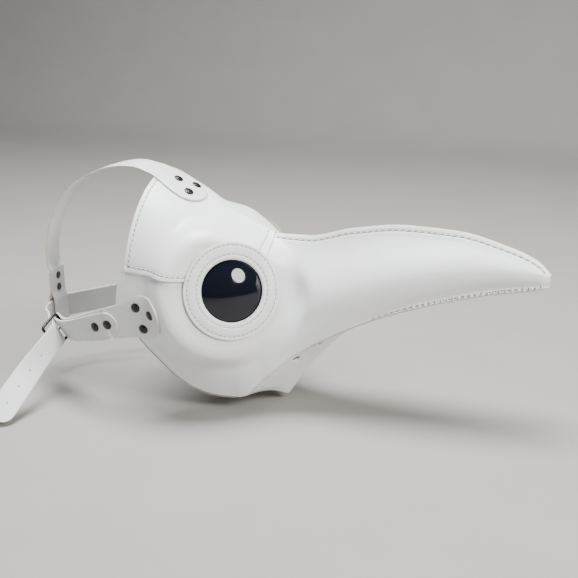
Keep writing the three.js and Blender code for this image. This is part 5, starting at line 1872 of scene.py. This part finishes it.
class MASK_OT_stage(bpy.types.Operator):
    """Set the floor, the lights and the camera"""
    bl_idname = "mask.stage"
    bl_label = "Stage"

    def execute(self, context):
        self.floor(context)
        self.lights(context)
        self.camera(context)
        return {"FINISHED"}

    def floor(self, context):
        lowest = min(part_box(node)[0].z for node in ("strap_tail", "beak_gusset", "side_panel_right"))
        level = lowest - FLOOR_DROP
        start_clean()
        bpy.ops.mesh.primitive_grid_add(x_subdivisions=60, y_subdivisions=60, size=9)
        obj = context.object
        obj.name = "floor"
        points = get_points(obj)
        behind = np.clip(points[:, 1] - 1.6, 0, None)
        points[:, 2] = level + np.where(behind > 0, behind ** 2 * 0.9, 0)
        points[:, 1] -= 0.25 * behind
        set_points(obj, points)
        dress(obj, "floor")
        bpy.ops.object.shade_smooth()

    def lamp(self, name, place, target, size, power, colour=(1, 1, 1), shape="DISK"):
        data = bpy.data.lights.new(name, "AREA")
        data.shape = shape
        data.size = size
        data.energy = power
        data.color = colour
        obj = bpy.data.objects.new(name, data)
        obj.location = place
        obj.rotation_euler = (Vector(target) - Vector(place)).to_track_quat("-Z", "Y").to_euler()
        bpy.context.scene.collection.objects.link(obj)

    def lights(self, context):
        key = context.scene.mask_stage.key
        middle = (0.15, 0, 0)
        self.lamp("key", (1.85, -0.78, 1.2), middle, 1.0, 1.5 * key, (1.0, 0.99, 0.97))
        self.lamp("overhead", (0.0, 0.05, 1.6), middle, 0.9, 1.9 * key, (0.95, 0.975, 1.0))
        self.lamp("fill", (-1.7, -1.3, 0.45), middle, 1.0, 0.16 * key, (0.90, 0.95, 1.0))
        world = bpy.data.worlds.new("studio")
        world.use_nodes = True
        world.node_tree.nodes["Background"].inputs["Color"].default_value = (0.80, 0.83, 0.86, 1)
        world.node_tree.nodes["Background"].inputs["Strength"].default_value = 0.11
        context.scene.world = world

    def camera(self, context):
        turn, rise = CAMERA_TURN, CAMERA_RISE
        back = Vector((math.sin(turn) * math.cos(rise), -math.cos(turn) * math.cos(rise), math.sin(rise)))
        data = bpy.data.cameras.new("camera")
        data.sensor_width = 36
        data.lens = CAMERA_LENS
        obj = bpy.data.objects.new("camera", data)
        obj.location = Vector(CAMERA_TARGET) + back * CAMERA_DISTANCE
        obj.rotation_euler = (-back).to_track_quat("-Z", "Y").to_euler()
        context.scene.collection.objects.link(obj)
        context.scene.camera = obj


OPERATORS = (
    MASK_OT_side_panels,
    MASK_OT_forehead_panel,
    MASK_OT_eye_rings,
    MASK_OT_lenses,
    MASK_OT_beak_gusset,
    MASK_OT_buckle_tab,
    MASK_OT_crown_strap,
    MASK_OT_long_strap,
    MASK_OT_rivets,
    MASK_OT_buckle,
    MASK_OT_stitching,
    MASK_OT_stage,
)


class MASK_PT_panel(bpy.types.Panel):
    """Lists the mask's settings and the steps that build it"""
    bl_label = "Plague Doctor Mask"
    bl_idname = "MASK_PT_panel"
    bl_space_type = "VIEW_3D"
    bl_region_type = "UI"
    bl_category = "Mask"

    def draw(self, context):
        layout = self.layout
        for key, group in SETTINGS.items():
            box = layout.box()
            for name in group.__annotations__:
                box.prop(getattr(context.scene, key), name)
        for operator in OPERATORS:
            layout.operator(operator.bl_idname)


def register():
    """Adds the settings, the steps and the panel to Blender."""
    for group in SETTINGS.values():
        bpy.utils.register_class(group)
    for key, group in SETTINGS.items():
        setattr(bpy.types.Scene, key, bpy.props.PointerProperty(type=group))
    for operator in OPERATORS:
        bpy.utils.register_class(operator)
    bpy.utils.register_class(MASK_PT_panel)


def unregister():
    """Takes them out again."""
    bpy.utils.unregister_class(MASK_PT_panel)
    for operator in reversed(OPERATORS):
        bpy.utils.unregister_class(operator)
    for key in SETTINGS:
        delattr(bpy.types.Scene, key)
    for group in SETTINGS.values():
        bpy.utils.unregister_class(group)


def main():
    """Builds the mask."""
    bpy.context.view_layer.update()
    register()
    for operator in OPERATORS:
        getattr(bpy.ops.mask, operator.bl_idname.split(".")[1])()


if __name__ == "__main__":
    main()
